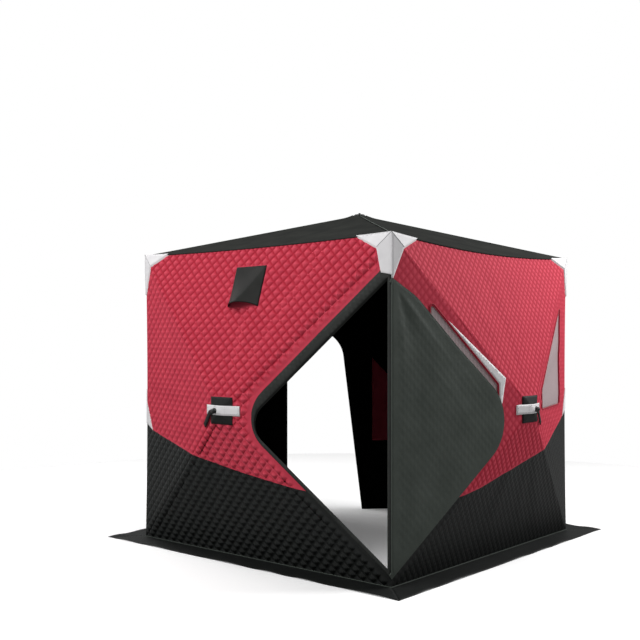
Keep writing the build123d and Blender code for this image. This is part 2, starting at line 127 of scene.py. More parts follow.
def rounded(points, radii, steps=14):
    """Outline whose corners are arcs of the given radii; a radius of 0 keeps the corner."""
    points = [np.array(p, float) for p in points]
    outline = []
    for index, (corner, radius) in enumerate(zip(points, radii)):
        if radius == 0:
            outline.append(corner)
            continue
        before = unit(points[index - 1] - corner)
        after = unit(points[(index + 1) % len(points)] - corner)
        half = math.acos(np.clip(before @ after, -1, 1)) / 2
        centre = corner + unit(before + after) * radius / math.sin(half)
        start = corner + before * radius / math.tan(half) - centre
        end = corner + after * radius / math.tan(half) - centre
        turn = math.pi - 2 * half
        for step in range(steps + 1):
            share = step / steps
            first = math.sin((1 - share) * turn) / math.sin(turn)
            second = math.sin(share * turn) / math.sin(turn)
            outline.append(centre + start * first + end * second)
    return np.array(outline)


def divided(line, step):
    """Polyline with each straight run divided into equal steps."""
    points = [line[0]]
    for start, end in zip(line[:-1], line[1:]):
        count = max(1, math.ceil(np.linalg.norm(end - start) / step - 1e-6))
        points.extend(start + (end - start) * i / count for i in range(1, count + 1))
    return np.array(points)


def closed(outline):
    """Outline with its first point again at the end."""
    return np.vstack([outline, outline[:1]])


def inside(points, outline):
    """Which points lie inside an outline."""
    x, y = points.T
    hit = np.zeros(len(points), bool)
    for (x0, y0), (x1, y1) in zip(outline, np.roll(outline, -1, axis=0)):
        if y0 == y1:
            continue
        crosses = (y0 > y) != (y1 > y)
        hit ^= crosses & (x < (x1 - x0) * (y - y0) / (y1 - y0) + x0)
    return hit


def distance(points, lines):
    """Distance from each point to the nearest of some polylines."""
    best = np.full(len(points), np.inf)
    for line in lines:
        for start, end in zip(line[:-1], line[1:]):
            run = end - start
            if run @ run < 1e-12:
                continue
            share = np.clip(((points - start) @ run) / (run @ run), 0, 1)
            best = np.minimum(best, np.linalg.norm(points - start - share[:, None] * run, axis=1))
    return best


def cut(scatter, lines, step, stretch=1.0):
    """Cloth cut along polylines: flat points and triangles that turn anticlockwise."""
    wide = np.array([stretch, 1.0])
    points = [Vector(p) for p in scatter[distance(scatter, lines) > CLEAR] * wide]
    edges = []
    for line in lines:
        first = len(points)
        points.extend(Vector(p) for p in divided(line, step) * wide)
        edges.extend((i, i + 1) for i in range(first, len(points) - 1))
    result = geometry.delaunay_2d_cdt(points, edges, [], 0, 1e-7, False)
    flat = np.array([tuple(p) for p in result[0]]) / wide
    triangles = np.array(result[2])
    first, second, third = (flat[triangles[:, i]] for i in range(3))
    area = np.cross(second - first, third - first)
    triangles[area < 0] = triangles[area < 0][:, ::-1]
    return flat, triangles[np.abs(area) > 1e-10]


def kept(flat, triangles, mask):
    """Only the chosen triangles, and the points that they use."""
    triangles = triangles[mask]
    used, numbers = np.unique(triangles, return_inverse=True)
    return flat[used], numbers.reshape(-1, 3)


def grid(low, high, step):
    """Square lattice of points over a box."""
    x, y = np.meshgrid(np.arange(low[0], high[0], step), np.arange(low[1], high[1], step))
    return np.column_stack([x.ravel(), y.ravel()])


def boundary(triangles):
    """Edges that only one triangle has, in that triangle's own direction."""
    edges = np.vstack([triangles[:, [0, 1]], triangles[:, [1, 2]], triangles[:, [2, 0]]])
    seen = {(a, b) for a, b in edges.tolist()}
    return [(a, b) for a, b in edges.tolist() if (b, a) not in seen]


def surface_normals(points, triangles):
    """Normal of a surface at each of its points."""
    corners = points[triangles]
    normals = np.cross(corners[:, 1] - corners[:, 0], corners[:, 2] - corners[:, 0])
    total = np.zeros_like(points)
    for i in range(3):
        np.add.at(total, triangles[:, i], normals)
    return total / np.maximum(np.linalg.norm(total, axis=1, keepdims=True), 1e-12)


# The tent's form


class Quilt:
    """Size of a wall's sewn diamonds, as shares of the set sizes, and how finely they are cut."""

    def __init__(self, across, up, puff, divisions):
        self.across = across
        self.up = up
        self.puff = puff
        self.divisions = divisions

    def diamond(self):
        """Width and height of one diamond."""
        sizes = bpy.context.scene.shelter_sizes
        return np.array([self.across * sizes.quilt_width, self.up * sizes.quilt_height])

    def shares(self, flat):
        """Place of each point between two stitch lines, 0 to 1 both ways across its diamond."""
        across, up = (flat / self.diamond()).T
        return np.mod(up + across, 1), np.mod(up - across, 1)

    def points(self, low, high):
        """Points over a box, evenly along both stitch directions."""
        across, up = self.diamond() / 2 / self.divisions
        reach = int((high[0] - low[0]) / across + (high[1] - low[1]) / up) + 8
        i, j = np.meshgrid(np.arange(-reach, reach), np.arange(-reach, reach))
        points = np.column_stack([((i - j) * across).ravel(), ((i + j) * up).ravel()])
        within = (points > np.array(low)).all(axis=1) & (points < np.array(high)).all(axis=1)
        return points[within]


LARGE_QUILT = Quilt(1.4, 1.18, 1.45, 6)
FINE_QUILT = Quilt(1.0, 1.0, 0.34, 4)


class Wall:
    """One wall seen from outside: u runs along it from its left end and z is up."""

    def __init__(self, name, start, end, hub_out, sag, bow_left, bow_right, seed, quilt):
        self.name = name
        self.quilt = quilt
        self.start = np.array([*start, 0.0])
        self.end = np.array([*end, 0.0])
        self.length = np.linalg.norm(self.end - self.start)
        self.half = self.length / 2
        self.along = unit(self.end - self.start)
        self.outward = np.cross(self.along, [0, 0, 1])
        self.hub_out = hub_out
        self.hub = np.array([self.half, HUB_HEIGHT])
        self.rim = np.array([(0, 0), (self.length, 0), (self.length, EAVES), (0, EAVES)])
        self.sag = sag
        self.bows = (bow_left, bow_right)
        self.seed = seed

    def ridges(self):
        """Creases from the hub to the corners."""
        return [np.array([self.hub, corner]) for corner in self.rim] if self.hub_out else []

    def upper_ridge(self, distance_along):
        return EAVES - distance_along * (EAVES - HUB_HEIGHT) / self.half

    def lower_ridge(self, distance_along):
        return distance_along * HUB_HEIGHT / self.half

    def mirrored(self, outline):
        """The outline with u measured from the right-hand end."""
        return np.array([(self.length - u, z) for u, z in outline])[::-1]

    def place(self, flat, lift=0.0):
        """Where flat points of the wall lie on the tent, lifted by a height off the cloth."""
        u, z = flat.T
        shares = np.array([
            z / HUB_HEIGHT,
            (self.length - u) / self.half,
            (EAVES - z) / (EAVES - HUB_HEIGHT),
            u / self.half,
        ])
        face = shares.argmin(axis=0)
        near_hub = np.clip(shares.min(axis=0), 0, 1)
        points = self.start + np.outer(u, self.along) + np.outer(z, [0, 0, 1])
        points = points + np.outer(near_hub * self.hub_out, self.outward)
        rim = self.hub + (flat - self.hub) / np.maximum(1 - near_hub, 1e-6)[:, None]
        upright = (face == 1) | (face == 3)
        t = np.clip(np.where(upright, rim[:, 1] / EAVES, rim[:, 0] / self.length), 0, 1)
        belly = 4 * (1 - near_hub) ** 2 * t * (1 - t)
        pulls = np.array([
            [0, 0, 0],
            self.bows[1],
            [0, 0, -self.sag],
            self.bows[0],
        ])
        points = points + belly[:, None] * pulls[face]
        if self.hub_out:
            fan = 4 * t * (1 - t) * 6.75 * near_hub * (1 - near_hub) ** 2
            folds = tension_folds(t, face + self.seed)
            points = points + np.outer(fan * folds, self.outward)
        grown = 1 + np.asarray(lift) / HALF
        return points * grown[..., None]


def tension_folds(t, seed):
    """Shallow folds that fan out from a hub, a few millimetres deep, different on each face."""
    depth = bpy.context.scene.shelter_sizes.fold_depth
    total = np.zeros_like(t)
    for count, share in ((3, 0.5), (5, 0.32), (8, 0.18)):
        total += share * np.sin(2 * math.pi * count * t + 1.7 * seed * count)
    return depth * total


def inwards(corner, amount):
    """Level vector from a corner towards the middle of the tent."""
    return -unit(np.array([*corner, 0.0])) * amount


CORNER_BOW = 9 * MM
FRONT = (HALF, -HALF)
LEFT = (-HALF, -HALF)
RIGHT = (HALF, HALF)
DOOR_LEFT = (-HALF, HALF - CORNER_CUT)
DOOR_RIGHT = (-HALF + CORNER_CUT, HALF)
STRAIGHT = np.zeros(3)
AT_LEFT = inwards(LEFT, CORNER_BOW)
AT_RIGHT = inwards(RIGHT, CORNER_BOW)

front_left = Wall("front_left", LEFT, FRONT, FRONT_HUB_OUT, 12 * MM, AT_LEFT, STRAIGHT, 1, LARGE_QUILT)
front_right = Wall("front_right", FRONT, RIGHT, FRONT_HUB_OUT, 38 * MM, STRAIGHT, AT_RIGHT, 6, FINE_QUILT)
back_right = Wall("back_right", RIGHT, DOOR_RIGHT, BACK_HUB_OUT, 18 * MM, AT_RIGHT, STRAIGHT, 11, FINE_QUILT)
back_left = Wall("back_left", DOOR_LEFT, LEFT, BACK_HUB_OUT, 18 * MM, STRAIGHT, AT_LEFT, 16, FINE_QUILT)
back_door = Wall("back_door", DOOR_RIGHT, DOOR_LEFT, 0.0, 0.0, STRAIGHT, STRAIGHT, 21, FINE_QUILT)
WALLS = [front_left, front_right, back_right, back_left]
FACES = ("bottom", "right", "top", "left")


def front_door_outline(from_corner, drop, rise):
    """Half diamond beside the front corner, measured from that corner."""
    upper = (EAVES - HUB_HEIGHT) / front_left.half
    lower = HUB_HEIGHT / front_left.half
    tip = (EAVES - drop - rise) / (upper + lower)
    return [
        (from_corner, front_left.lower_ridge(from_corner) + rise),
        (tip, front_left.lower_ridge(tip) + rise),
        (from_corner, front_left.upper_ridge(from_corner) - drop),
    ]


def front_opening(grow_above=0.0, grow_below=0.0, tip_round=DOOR_TIP_ROUND, from_corner=DOOR_FROM_CORNER):
    """Front door opening, or a larger outline around it."""
    outline = front_door_outline(from_corner, DOOR_DROP - grow_above, DOOR_RISE - grow_below)
    return front_left.mirrored(rounded(outline, [0, tip_round, 0], 24))


def front_border():
    """Outer edge of the band around the front door, which reaches the corner."""
    return front_opening(BORDER_ABOVE, BORDER_BELOW, BORDER_TIP_ROUND, 0.0)


def rear_arch(grow, foot, hinge_side, steps=20):
    """Arch of the rear door: foot, slanted free edge, rounded shoulder and level top."""
    lean = (REAR_SHOULDER - REAR_FOOT) / REAR_TOP
    outline = [
        (REAR_FOOT - grow + lean * foot, foot),
        (hinge_side, foot),
        (hinge_side, REAR_TOP + grow),
        (REAR_SHOULDER - grow, REAR_TOP + grow),
    ]
    return rounded(outline, [0, 0, 0, REAR_ROUND + grow], steps)


def window_sizes(wall, side):
    """A window's gaps to the corner and to the hub, its drop below the ridge and its sill over the hub."""
    if wall in (back_right, back_left):
        return BACK_WINDOW
    return WIDE_WINDOW if side == "right" else FRONT_WINDOW


def striped_sides(wall):
    """Sides of a wall whose window has a white stripe."""
    return ("left",) if wall is front_right else ("left", "right")


def window_outline(wall, side, grow=0.0):
    """Window beside the upper ridge, with its point cut off square at both ends."""
    near, from_hub, drop, sill = window_sizes(wall, side)
    far = wall.half - from_hub + grow
    near = near - grow
    drop = drop - grow * math.sqrt(2)
    sill = HUB_HEIGHT + sill - grow
    outline = [
        (near, sill),
        (far, sill),
        (far, wall.upper_ridge(far) - drop),
        (near, wall.upper_ridge(near) - drop),
    ]
    shape = rounded(outline, [WINDOW_ROUND] * 4, 4)
    return shape if side == "left" else wall.mirrored(shape)


# Where red cloth meets black, as heights above u from the left end
SEAM_AT_CORNER = 689 * MM
SEAM_KINK = (87 * MM, 655 * MM)


def colour_seam(wall):
    """Line between the red and the black quilting of a wall."""
    kink_u, kink_z = SEAM_KINK
    if wall is front_left:
        low = [(604, 565), (1016, 490), (1426, 433), (1560, 380)]
        points = [(0, SEAM_AT_CORNER), (kink_u, kink_z)] + [(u * MM, z * MM) for u, z in low]
        return np.array(points + [(wall.length, 240 * MM)])
    if wall is front_right:
        low = [(290, 375), (454, 405), (587, 425), (1224, 582)]
        points = [(0, 260 * MM)] + [(u * MM, z * MM) for u, z in low]
        return np.array(points + [(wall.length - kink_u, kink_z + 70 * MM), (wall.length, 765 * MM)])
    points = [(0, 765 * MM), (kink_u * 1.4, 625 * MM), (520 * MM, 480 * MM), (840 * MM, 400 * MM)]
    points += [(wall.length - kink_u, 420 * MM), (wall.length, 430 * MM)]
    seam = np.array(points)
    return seam if wall is back_right else wall.mirrored(seam)


def door_cut(wall):
    """Outline that a wall's cloth is cut to for its door, a little inside the door's border."""
    if wall is front_left:
        return front_opening(HEM, HEM, DOOR_TIP_ROUND, DOOR_FROM_CORNER - HEM)
    if wall is back_door:
        return rear_arch(HEM, 0, back_door.length - REAR_HINGE_MARGIN + HEM)
    return None


def window_cuts(wall):
    """Outlines of a wall's windows."""
    if wall in (front_left, back_door):
        return []
    return [window_outline(wall, side) for side in ("left", "right")]


# Meshes


def stitch_shell(name, outer, outer_at, inner, inner_at):
    """Closed cloth from an outer and an inner surface that share their rims, with flat UVs."""
    flat, triangles = outer
    back_flat, back_triangles = inner
    offset = len(flat)
    numbers = {tuple(k): i for i, k in enumerate(np.round(back_flat * 1e5).astype(int).tolist())}
    keys = np.round(flat * 1e5).astype(int).tolist()

    def partner(index):
        x, y = keys[index]
        for dx in (0, -1, 1):
            for dy in (0, -1, 1):
                if (x + dx, y + dy) in numbers:
                    return numbers[(x + dx, y + dy)] + offset
        raise RuntimeError(f"{name}: the rims of its two sides don't match")

    faces = triangles.tolist() + (back_triangles[:, ::-1] + offset).tolist()
    smooth = len(faces)
    for a, b in boundary(triangles):
        faces.append([b, a, partner(a), partner(b)])
    mesh = bpy.data.meshes.new(name)
    mesh.from_pydata(np.vstack([outer_at, inner_at]).tolist(), [], faces)
    mesh.polygons.foreach_set("use_smooth", [i < smooth for i in range(len(faces))])
    uv = mesh.uv_layers.new(name="UVMap")
    loops = np.empty(len(mesh.loops), int)
    mesh.loops.foreach_get("vertex_index", loops)
    uv.data.foreach_set("uv", np.vstack([flat, back_flat])[loops].ravel())
    return mesh


def show(name, mesh, *materials):
    """Object for a mesh, linked to the scene, with its materials."""
    piece = bpy.data.objects.new(name, mesh)
    bpy.context.scene.collection.objects.link(piece)
    for material in materials:
        mesh.materials.append(material)
    return piece


def finish_piece(piece, body=SHELTER, replaces=()):
    """The calls that every piece needs: its body and the nodes it stands for."""
    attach(piece, body)
    if replaces:
        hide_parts(*replaces)
    return piece


def sewn(name, mesh, material, slot, *replaces):
    """Piece of the shelter's body, with its material and the nodes it stands for; the slot argument is not
    used.
    """
    finish_piece(show(name, mesh, finish_of(material)), SHELTER, replaces)


def joined(name, meshes):
    """One mesh from several, which keep their faces, smoothness and UVs."""
    target = bpy.data.meshes.new(name)
    points, faces, smooth, uvs = [], [], [], []
    for mesh in meshes:
        first = len(points)
        points.extend(v.co[:] for v in mesh.vertices)
        faces.extend([v + first for v in p.vertices] for p in mesh.polygons)
        smooth.extend(p.use_smooth for p in mesh.polygons)
        layer = mesh.uv_layers.get("UVMap")
        uvs.extend(loop.uv[:] for loop in layer.data) if layer else uvs.extend([(0, 0)] * len(mesh.loops))
        bpy.data.meshes.remove(mesh)
    target.from_pydata(points, [], faces)
    target.polygons.foreach_set("use_smooth", smooth)
    target.uv_layers.new(name="UVMap").data.foreach_set("uv", np.array(uvs).ravel())
    return target


# Quilting

CREASED = 0.8
CREASE_STRETCH = 1.15
SHARP_CREASE = math.radians(14)
DOME_FULLNESS = 0.6
PRESSED_WIDTH = 10 * MM
STRETCHED_FLAT = 0.45
FACET_EDGE = 40 * MM
GATHER_PITCH = 28 * MM
GATHER_DEPTH = 0.9 * MM
GATHER_FADE = 40 * MM


def crowns(quilt, flat):
    """Height share of the quilting: 0 on stitch lines and 1 in the middle of a diamond, creased both ways."""
    first, second = quilt.shares(flat)
    aside, above = np.abs(first - second), np.abs(first + second - 1)
    creased = 1 - aside - above
    domed = (np.abs(np.sin(math.pi * first)) * np.abs(np.sin(math.pi * second))) ** DOME_FULLNESS
    return CREASED * creased + (1 - CREASED) * domed


def covers(wall):
    """Outlines of what is sewn flat over a wall's quilting."""
    if wall is back_door:
        return [rear_arch(REAR_BORDER, 0, wall.length - REAR_HINGE_MARGIN + SEAM_WIDTH)]
    outlines = [corner_patch(wall, side) for side in ("left", "right")]
    outlines += [rectangle(wall.hub, *HUB_PATCH), rectangle(wall.hub, *STRAP)]
    outlines += [side_patch(*place) for place in SIDE_PATCHES if place[0] is wall]
    if wall is front_left:
        hood = rectangle((HOOD_MIDDLE, (HOOD_TOP + HOOD_FOOT) / 2), HOOD_WIDTH, HOOD_TOP - HOOD_FOOT)
        return outlines + [front_border(), hood]
    return outlines + [stripe_outline(wall, side) for side in striped_sides(wall)]


def quilt_height(wall, flat, seams):
    """Height of the quilting over its flat cloth, and its crown share, level beside sewn edges; the crown
    share is the mask for painted shade in the valleys.
    """
    sizes = bpy.context.scene.shelter_sizes
    full = np.clip(distance(flat, seams) / PRESSED_WIDTH, 0, 1)
    gathers = np.zeros(len(flat))
    if wall is front_left:
        away = distance(flat, [closed(front_border())])
        calm = np.clip((away - GATHER_PITCH / 2) / GATHER_FADE, 0, 1)
        gathers = GATHER_DEPTH * np.cos(2 * math.pi * away / GATHER_PITCH) * (1 - calm)
        full *= calm
    covered = np.zeros(len(flat), bool)
    for outline in covers(wall):
        covered |= inside(flat, outline)
        full = np.minimum(full, np.clip(distance(flat, [closed(outline)]) / PRESSED_WIDTH, 0, 1))
    full[covered] = 0
    u, z = flat.T
    into_left = np.minimum(wall.upper_ridge(u) - z, z - wall.lower_ridge(u)) * (u < wall.half)
    full *= 1 - STRETCHED_FLAT * np.clip(into_left / FACET_EDGE, 0, 1)
    crown = crowns(wall.quilt, flat)
    lift = (crown - 0.5) * full * wall.quilt.puff * sizes.puff + gathers
    lift[covered] = -1 * MM
    return lift, crown * full + 0.5 * (1 - full)


def quilted_piece(name, wall, region, lines, chooser, material, replaces):
    """Quilted cloth over part of a wall: a puffed face and a flat back that share their rim."""
    low, high = region
    flat, triangles = cut(wall.quilt.points(low, high), lines, SEAM_STEP, CREASE_STRETCH)
    outer = kept(flat, triangles, chooser(flat[triangles].mean(axis=1)))
    flat, triangles = cut(grid(low, high, LINING_STEP), lines, SEAM_STEP)
    inner = kept(flat, triangles, chooser(flat[triangles].mean(axis=1)))
    height, crown_shade_share = quilt_height(wall, outer[0], lines)
    base = wall.place(outer[0])
    outer_at = base + surface_normals(base, outer[1]) * height[:, None]
    inner_at = wall.place(inner[0], -(FABRIC - 2 * LINING))
    mesh = stitch_shell(name, outer, outer_at, inner, inner_at)
    mesh.set_sharp_from_angle(angle=SHARP_CREASE)
    # The crown attribute carries the mask for painted shade along the stitch-line valleys; the flat back gets
    # 1, so no shade.
    crown = mesh.attributes.new("crown", "FLOAT", "POINT")
    crown.data.foreach_set("value", np.concatenate([crown_shade_share, np.ones(len(inner_at))]))
    piece = show(name, mesh, material)
    return finish_piece(piece, SHELTER, replaces)


def wall_lines(wall):
    """Every line that a wall's cloth is cut along."""
    lines = [closed(wall.rim)]
    door = door_cut(wall)
    if door is not None:
        lines.append(closed(door))
    return lines + [closed(window) for window in window_cuts(wall)]


def wall_chooser(wall, above=None, seam=None):
    """Test for the triangles of a wall that are cloth, on one side of a seam if one is given."""
    holes = window_cuts(wall) + ([door_cut(wall)] if door_cut(wall) is not None else [])

    def chooser(centres):
        mask = inside(centres, wall.rim)
        for hole in holes:
            mask &= ~inside(centres, hole)
        if seam is not None:
            height = np.interp(centres[:, 0], seam[:, 0], seam[:, 1])
            mask &= (centres[:, 1] > height) == above
        return mask

    return chooser


SEWN_LIFT = 3 * MM
SEWN_UNDER = -1 * MM
BORDER_LIFT = 3.2 * MM
BORDER_STEP = 20 * MM
CLOTH_STEP = 12 * MM


def flat_cloth(name, wall, outline, outer_lift, inner_lift, step=CLOTH_STEP, holes=()):
    """Closed piece of plain cloth that follows a wall's form."""
    lines = [closed(outline)] + [closed(hole) for hole in holes] + wall.ridges()
    low, high = outline.min(axis=0), outline.max(axis=0)
    flat, triangles = cut(grid(low, high, step), lines, SEAM_STEP)
    centres = flat[triangles].mean(axis=1)
    mask = inside(centres, outline)
    for hole in holes:
        mask &= ~inside(centres, hole)
    cloth = kept(flat, triangles, mask)
    return stitch_shell(
        name, cloth, wall.place(cloth[0], outer_lift), cloth, wall.place(cloth[0], inner_lift)
    )


CAP_RADIUS = 35 * MM
DRAPE_END = 110 * MM


class RoofFace:
    """One roof cloth, flat in its own plane: x along its eave and y up to the roof's point."""

    def __init__(self, wall):
        self.wall = wall
        self.first = wall.start + [0, 0, EAVES]
        self.second = wall.end + [0, 0, EAVES]
        self.top = np.array([0, 0, APEX])
        self.top_x = (self.top - self.first) @ wall.along
        self.top_y = np.linalg.norm(self.top - self.first - wall.along * self.top_x)
        self.outline = np.array([(0, 0), (wall.length, 0), (self.top_x, self.top_y)])

    def place(self, flat, lift=0.0):
        """Where flat points of the cloth lie, sagging between the roof poles."""
        x, y = flat.T
        rise = np.clip(y / self.top_y, 0, 1)
        t = np.clip((x - rise * self.top_x) / np.maximum((1 - rise) * self.wall.length, 1e-6), 0, 1)
        level = np.outer(1 - t, self.first) + np.outer(t, self.second)
        points = (1 - rise)[:, None] * level + np.outer(rise, self.top)
        belly = 4 * (1 - rise) ** 2 * t * (1 - t)
        fan = 4 * t * (1 - t) * 6.75 * rise * (1 - rise) ** 2
        folds = tension_folds(t, self.wall.seed + 4)
        reach = np.linalg.norm(points[:, :2], axis=1)
        draped = np.clip((DRAPE_END - reach) / (DRAPE_END - CAP_RADIUS), 0, 1) ** 2
        rise_at_cap = (APEX - EAVES) / HALF * np.minimum(reach, CAP_RADIUS)
        raised = fan * folds - belly * self.wall.sag + rise_at_cap * draped
        points = points + np.outer(raised, [0, 0, 1])
        return points * (1 + lift / HALF)


class Flap:
    """A door flap in its open place: r runs out from the hinge line and z is up."""

    def __init__(self, joint, closed_end):
        hinge = next(j for j in frame["joints"] if j["name"] == joint)
        self.body = hinge["child"]
        self.axis = np.array(hinge["pos_m"], float)
        corner = np.array([*closed_end[0], 0.0])
        shut = unit(np.array([*closed_end[1], 0.0]) - corner)
        turn = math.radians(-hinge["range_deg"][0])
        cosine, sine = math.cos(turn), math.sin(turn)
        self.direction = np.array([shut[0] * cosine - shut[1] * sine, shut[0] * sine + shut[1] * cosine, 0])
        self.normal = np.cross(self.direction, [0, 0, 1])

    def place(self, flat, lift):
        r, z = flat.T
        return self.axis + np.outer(r, self.direction) + np.outer(z, [0, 0, 1]) + np.outer(lift, self.normal)


# Node trees


def link_node(tree, kind, values=None, links=None, **settings):
    """Node with its settings, its sockets' values and what is linked to them."""
    node = tree.nodes.new(kind)
    for key, value in settings.items():
        setattr(node, key, value)
    for key, value in (values or {}).items():
        node.inputs[key].default_value = value
    for key, source in (links or {}).items():
        tree.links.new(source, node.inputs[key])
    return node


def tree_inputs(tree, **sizes):
    """Geometry, size and material inputs of a node tree, and its output."""
    tree.interface.new_socket("Path", in_out="INPUT", socket_type="NodeSocketGeometry")
    for label, default in sizes.values():
        socket = tree.interface.new_socket(label, in_out="INPUT", socket_type="NodeSocketFloat")
        socket.default_value = default
    tree.interface.new_socket("Material", in_out="INPUT", socket_type="NodeSocketMaterial")
    tree.interface.new_socket("Mesh", in_out="OUTPUT", socket_type="NodeSocketGeometry")
    return tree.nodes.new("NodeGroupInput"), tree.nodes.new("NodeGroupOutput")


def welt_tree():
    """Round welt or rolled edge that follows a path."""
    tree = bpy.data.node_groups.new("Welt", "GeometryNodeTree")
    given, made = tree_inputs(tree, radius=("Radius", 2 * MM))
    path = link_node(tree, "GeometryNodeMeshToCurve", links={"Mesh": given.outputs["Path"]})
    ring = link_node(
        tree, "GeometryNodeCurvePrimitiveCircle", {"Resolution": 8}, {"Radius": given.outputs["Radius"]}
    )
    tube = link_node(
        tree,
        "GeometryNodeCurveToMesh",
        {"Fill Caps": True},
        {"Curve": path.outputs[0], "Profile Curve": ring.outputs["Curve"]},
    )
    smooth = link_node(tree, "GeometryNodeSetShadeSmooth", links={"Geometry": tube.outputs[0]})
    real = link_node(tree, "GeometryNodeRealizeInstances", links={"Geometry": smooth.outputs[0]})
    finish = link_node(
        tree,
        "GeometryNodeSetMaterial",
        links={"Geometry": real.outputs[0], "Material": given.outputs["Material"]},
    )
    tree.links.new(finish.outputs[0], made.inputs[0])
    return tree


def stitch_tree():
    """Row of thread stitches along a path, each a small bead that lies along it."""
    tree = bpy.data.node_groups.new("Stitch row", "GeometryNodeTree")
    given, made = tree_inputs(
        tree, spacing=("Spacing", 12 * MM), length=("Stitch length", 8 * MM), thick=("Thread", 1.6 * MM)
    )
    path = link_node(tree, "GeometryNodeMeshToCurve", links={"Mesh": given.outputs["Path"]})
    places = link_node(
        tree,
        "GeometryNodeCurveToPoints",
        links={"Curve": path.outputs[0], "Length": given.outputs["Spacing"]},
        mode="LENGTH",
    )
    bead = link_node(tree, "GeometryNodeMeshUVSphere", {"Segments": 6, "Rings": 4, "Radius": 0.5})
    size = link_node(
        tree,
        "ShaderNodeCombineXYZ",
        links={
            "X": given.outputs["Thread"],
            "Y": given.outputs["Thread"],
            "Z": given.outputs["Stitch length"],
        },
    )
    row = link_node(
        tree,
        "GeometryNodeInstanceOnPoints",
        links={
            "Points": places.outputs["Points"],
            "Instance": bead.outputs["Mesh"],
            "Rotation": places.outputs["Rotation"],
            "Scale": size.outputs[0],
        },
    )
    real = link_node(tree, "GeometryNodeRealizeInstances", links={"Geometry": row.outputs[0]})
    finish = link_node(
        tree,
        "GeometryNodeSetMaterial",
        links={"Geometry": real.outputs[0], "Material": given.outputs["Material"]},
    )
    tree.links.new(finish.outputs[0], made.inputs[0])
    return tree


def shared_tree(name, maker):
    """A node tree that is built once."""
    return bpy.data.node_groups.get(name) or maker()


def follow(name, paths, tree, material, **values):
    """Plain mesh that a node tree makes along some paths, as an object."""
    points, edges = [], []
    for path in paths:
        first = len(points)
        points.extend(tuple(p) for p in path)
        edges.extend((i, i + 1) for i in range(first, len(points) - 1))
    mesh = bpy.data.meshes.new(name + "_path")
    mesh.from_pydata(points, edges, [])
    guide = bpy.data.objects.new(name + "_path", mesh)
    bpy.context.scene.collection.objects.link(guide)
    modifier = guide.modifiers.new("Follow", "NODES")
    modifier.node_group = tree
    given = {**values, "Material": material}
    for item in tree.interface.items_tree:
        if item.in_out == "INPUT" and item.name in given:
            modifier[item.identifier] = given[item.name]
    made = bpy.data.meshes.new_from_object(guide.evaluated_get(bpy.context.evaluated_depsgraph_get()))
    bpy.data.objects.remove(guide)
    made.name = name
    piece = bpy.data.objects.new(name, made)
    bpy.context.scene.collection.objects.link(piece)
    return piece


# Materials


def linear(hex_colour):
    """Linear RGBA from an sRGB hex value."""
    values = [int(hex_colour[i : i + 2], 16) / 255 for i in (1, 3, 5)]
    return [v / 12.92 if v <= 0.04045 else ((v + 0.055) / 1.055) ** 2.4 for v in values] + [1.0]


def started(name, roughness, specular):
    """New material, its tree and its shader."""
    material = bpy.data.materials.new(name)
    material.use_nodes = True
    shader = material.node_tree.nodes["Principled BSDF"]
    shader.inputs["Roughness"].default_value = roughness
    shader.inputs["Specular IOR Level"].default_value = specular
    return material, material.node_tree, shader


def cloth_bump(tree, vector, thread, crumple, weave_strength, crumple_strength):
    """Bump of a plain weave and of the soft crumple of coated cloth, at their real spacings."""
    wave_scale = math.pi / (10 * thread)
    warp = link_node(
        tree, "ShaderNodeTexWave", {"Scale": wave_scale}, {"Vector": vector}, bands_direction="X"
    )
    weft = link_node(
        tree, "ShaderNodeTexWave", {"Scale": wave_scale}, {"Vector": vector}, bands_direction="Y"
    )
    weave = link_node(
        tree,
        "ShaderNodeMath",
        links={0: warp.outputs["Fac"], 1: weft.outputs["Fac"]},
        operation="MULTIPLY",
    )
    folds = link_node(
        tree,
        "ShaderNodeTexNoise",
        {"Scale": 1 / crumple, "Detail": 4.0, "Roughness": 0.6},
        {"Vector": vector},
    )
    fine = link_node(
        tree,
        "ShaderNodeBump",
        {"Strength": weave_strength, "Distance": 0.3 * MM},
        {"Height": weave.outputs[0]},
    )
    return link_node(
        tree,
        "ShaderNodeBump",
        {"Strength": crumple_strength, "Distance": 2 * MM},
        {"Height": folds.outputs["Fac"], "Normal": fine.outputs[0]},
    )


def mottled(tree, vector, first, second, size, detail=3.0):
    """Colour that drifts between two shades over patches of a given size."""
    noise = link_node(
        tree,
        "ShaderNodeTexNoise",
        {"Scale": 1 / size, "Detail": detail, "Roughness": 0.6},
        {"Vector": vector},
    )
    ramp = link_node(tree, "ShaderNodeValToRGB", links={"Fac": noise.outputs["Fac"]})
    ramp.color_ramp.elements[0].position = 0.32
    ramp.color_ramp.elements[0].color = first
    ramp.color_ramp.elements[1].position = 0.68
    ramp.color_ramp.elements[1].color = second
    return ramp.outputs["Color"]


def quilted_polyester(name, valley_shade, crown, worn, roughness, specular):
    """Polyester oxford over wadding, sewn in diamonds: satin crowns, with painted shade that darkens the
    colour from the crowns down into the stitch-line valleys.
    """
    material, tree, shader = started(name, roughness, specular)
    place = link_node(tree, "ShaderNodeUVMap", uv_map="UVMap").outputs["UV"]
    share = link_node(tree, "ShaderNodeAttribute", attribute_name="crown")
    # Painted shade: the crown share mixes the darker valley colour in towards the stitch lines, in place of
    # the shade between the puffs.
    shade_spread = link_node(
        tree,
        "ShaderNodeMapRange",
        {"From Min": 0.05, "From Max": 0.85},
        {"Value": share.outputs["Fac"]},
    )
    face = mottled(tree, place, crown, worn, 160 * MM)
    colour = link_node(
        tree, "ShaderNodeMix", {6: valley_shade}, {0: shade_spread.outputs[0], 7: face}, data_type="RGBA"
    )
    tree.links.new(colour.outputs[2], shader.inputs["Base Color"])
    bump = cloth_bump(tree, place, 1.6 * MM, 22 * MM, 0.35, 0.35)
    tree.links.new(bump.outputs[0], shader.inputs["Normal"])
    return material


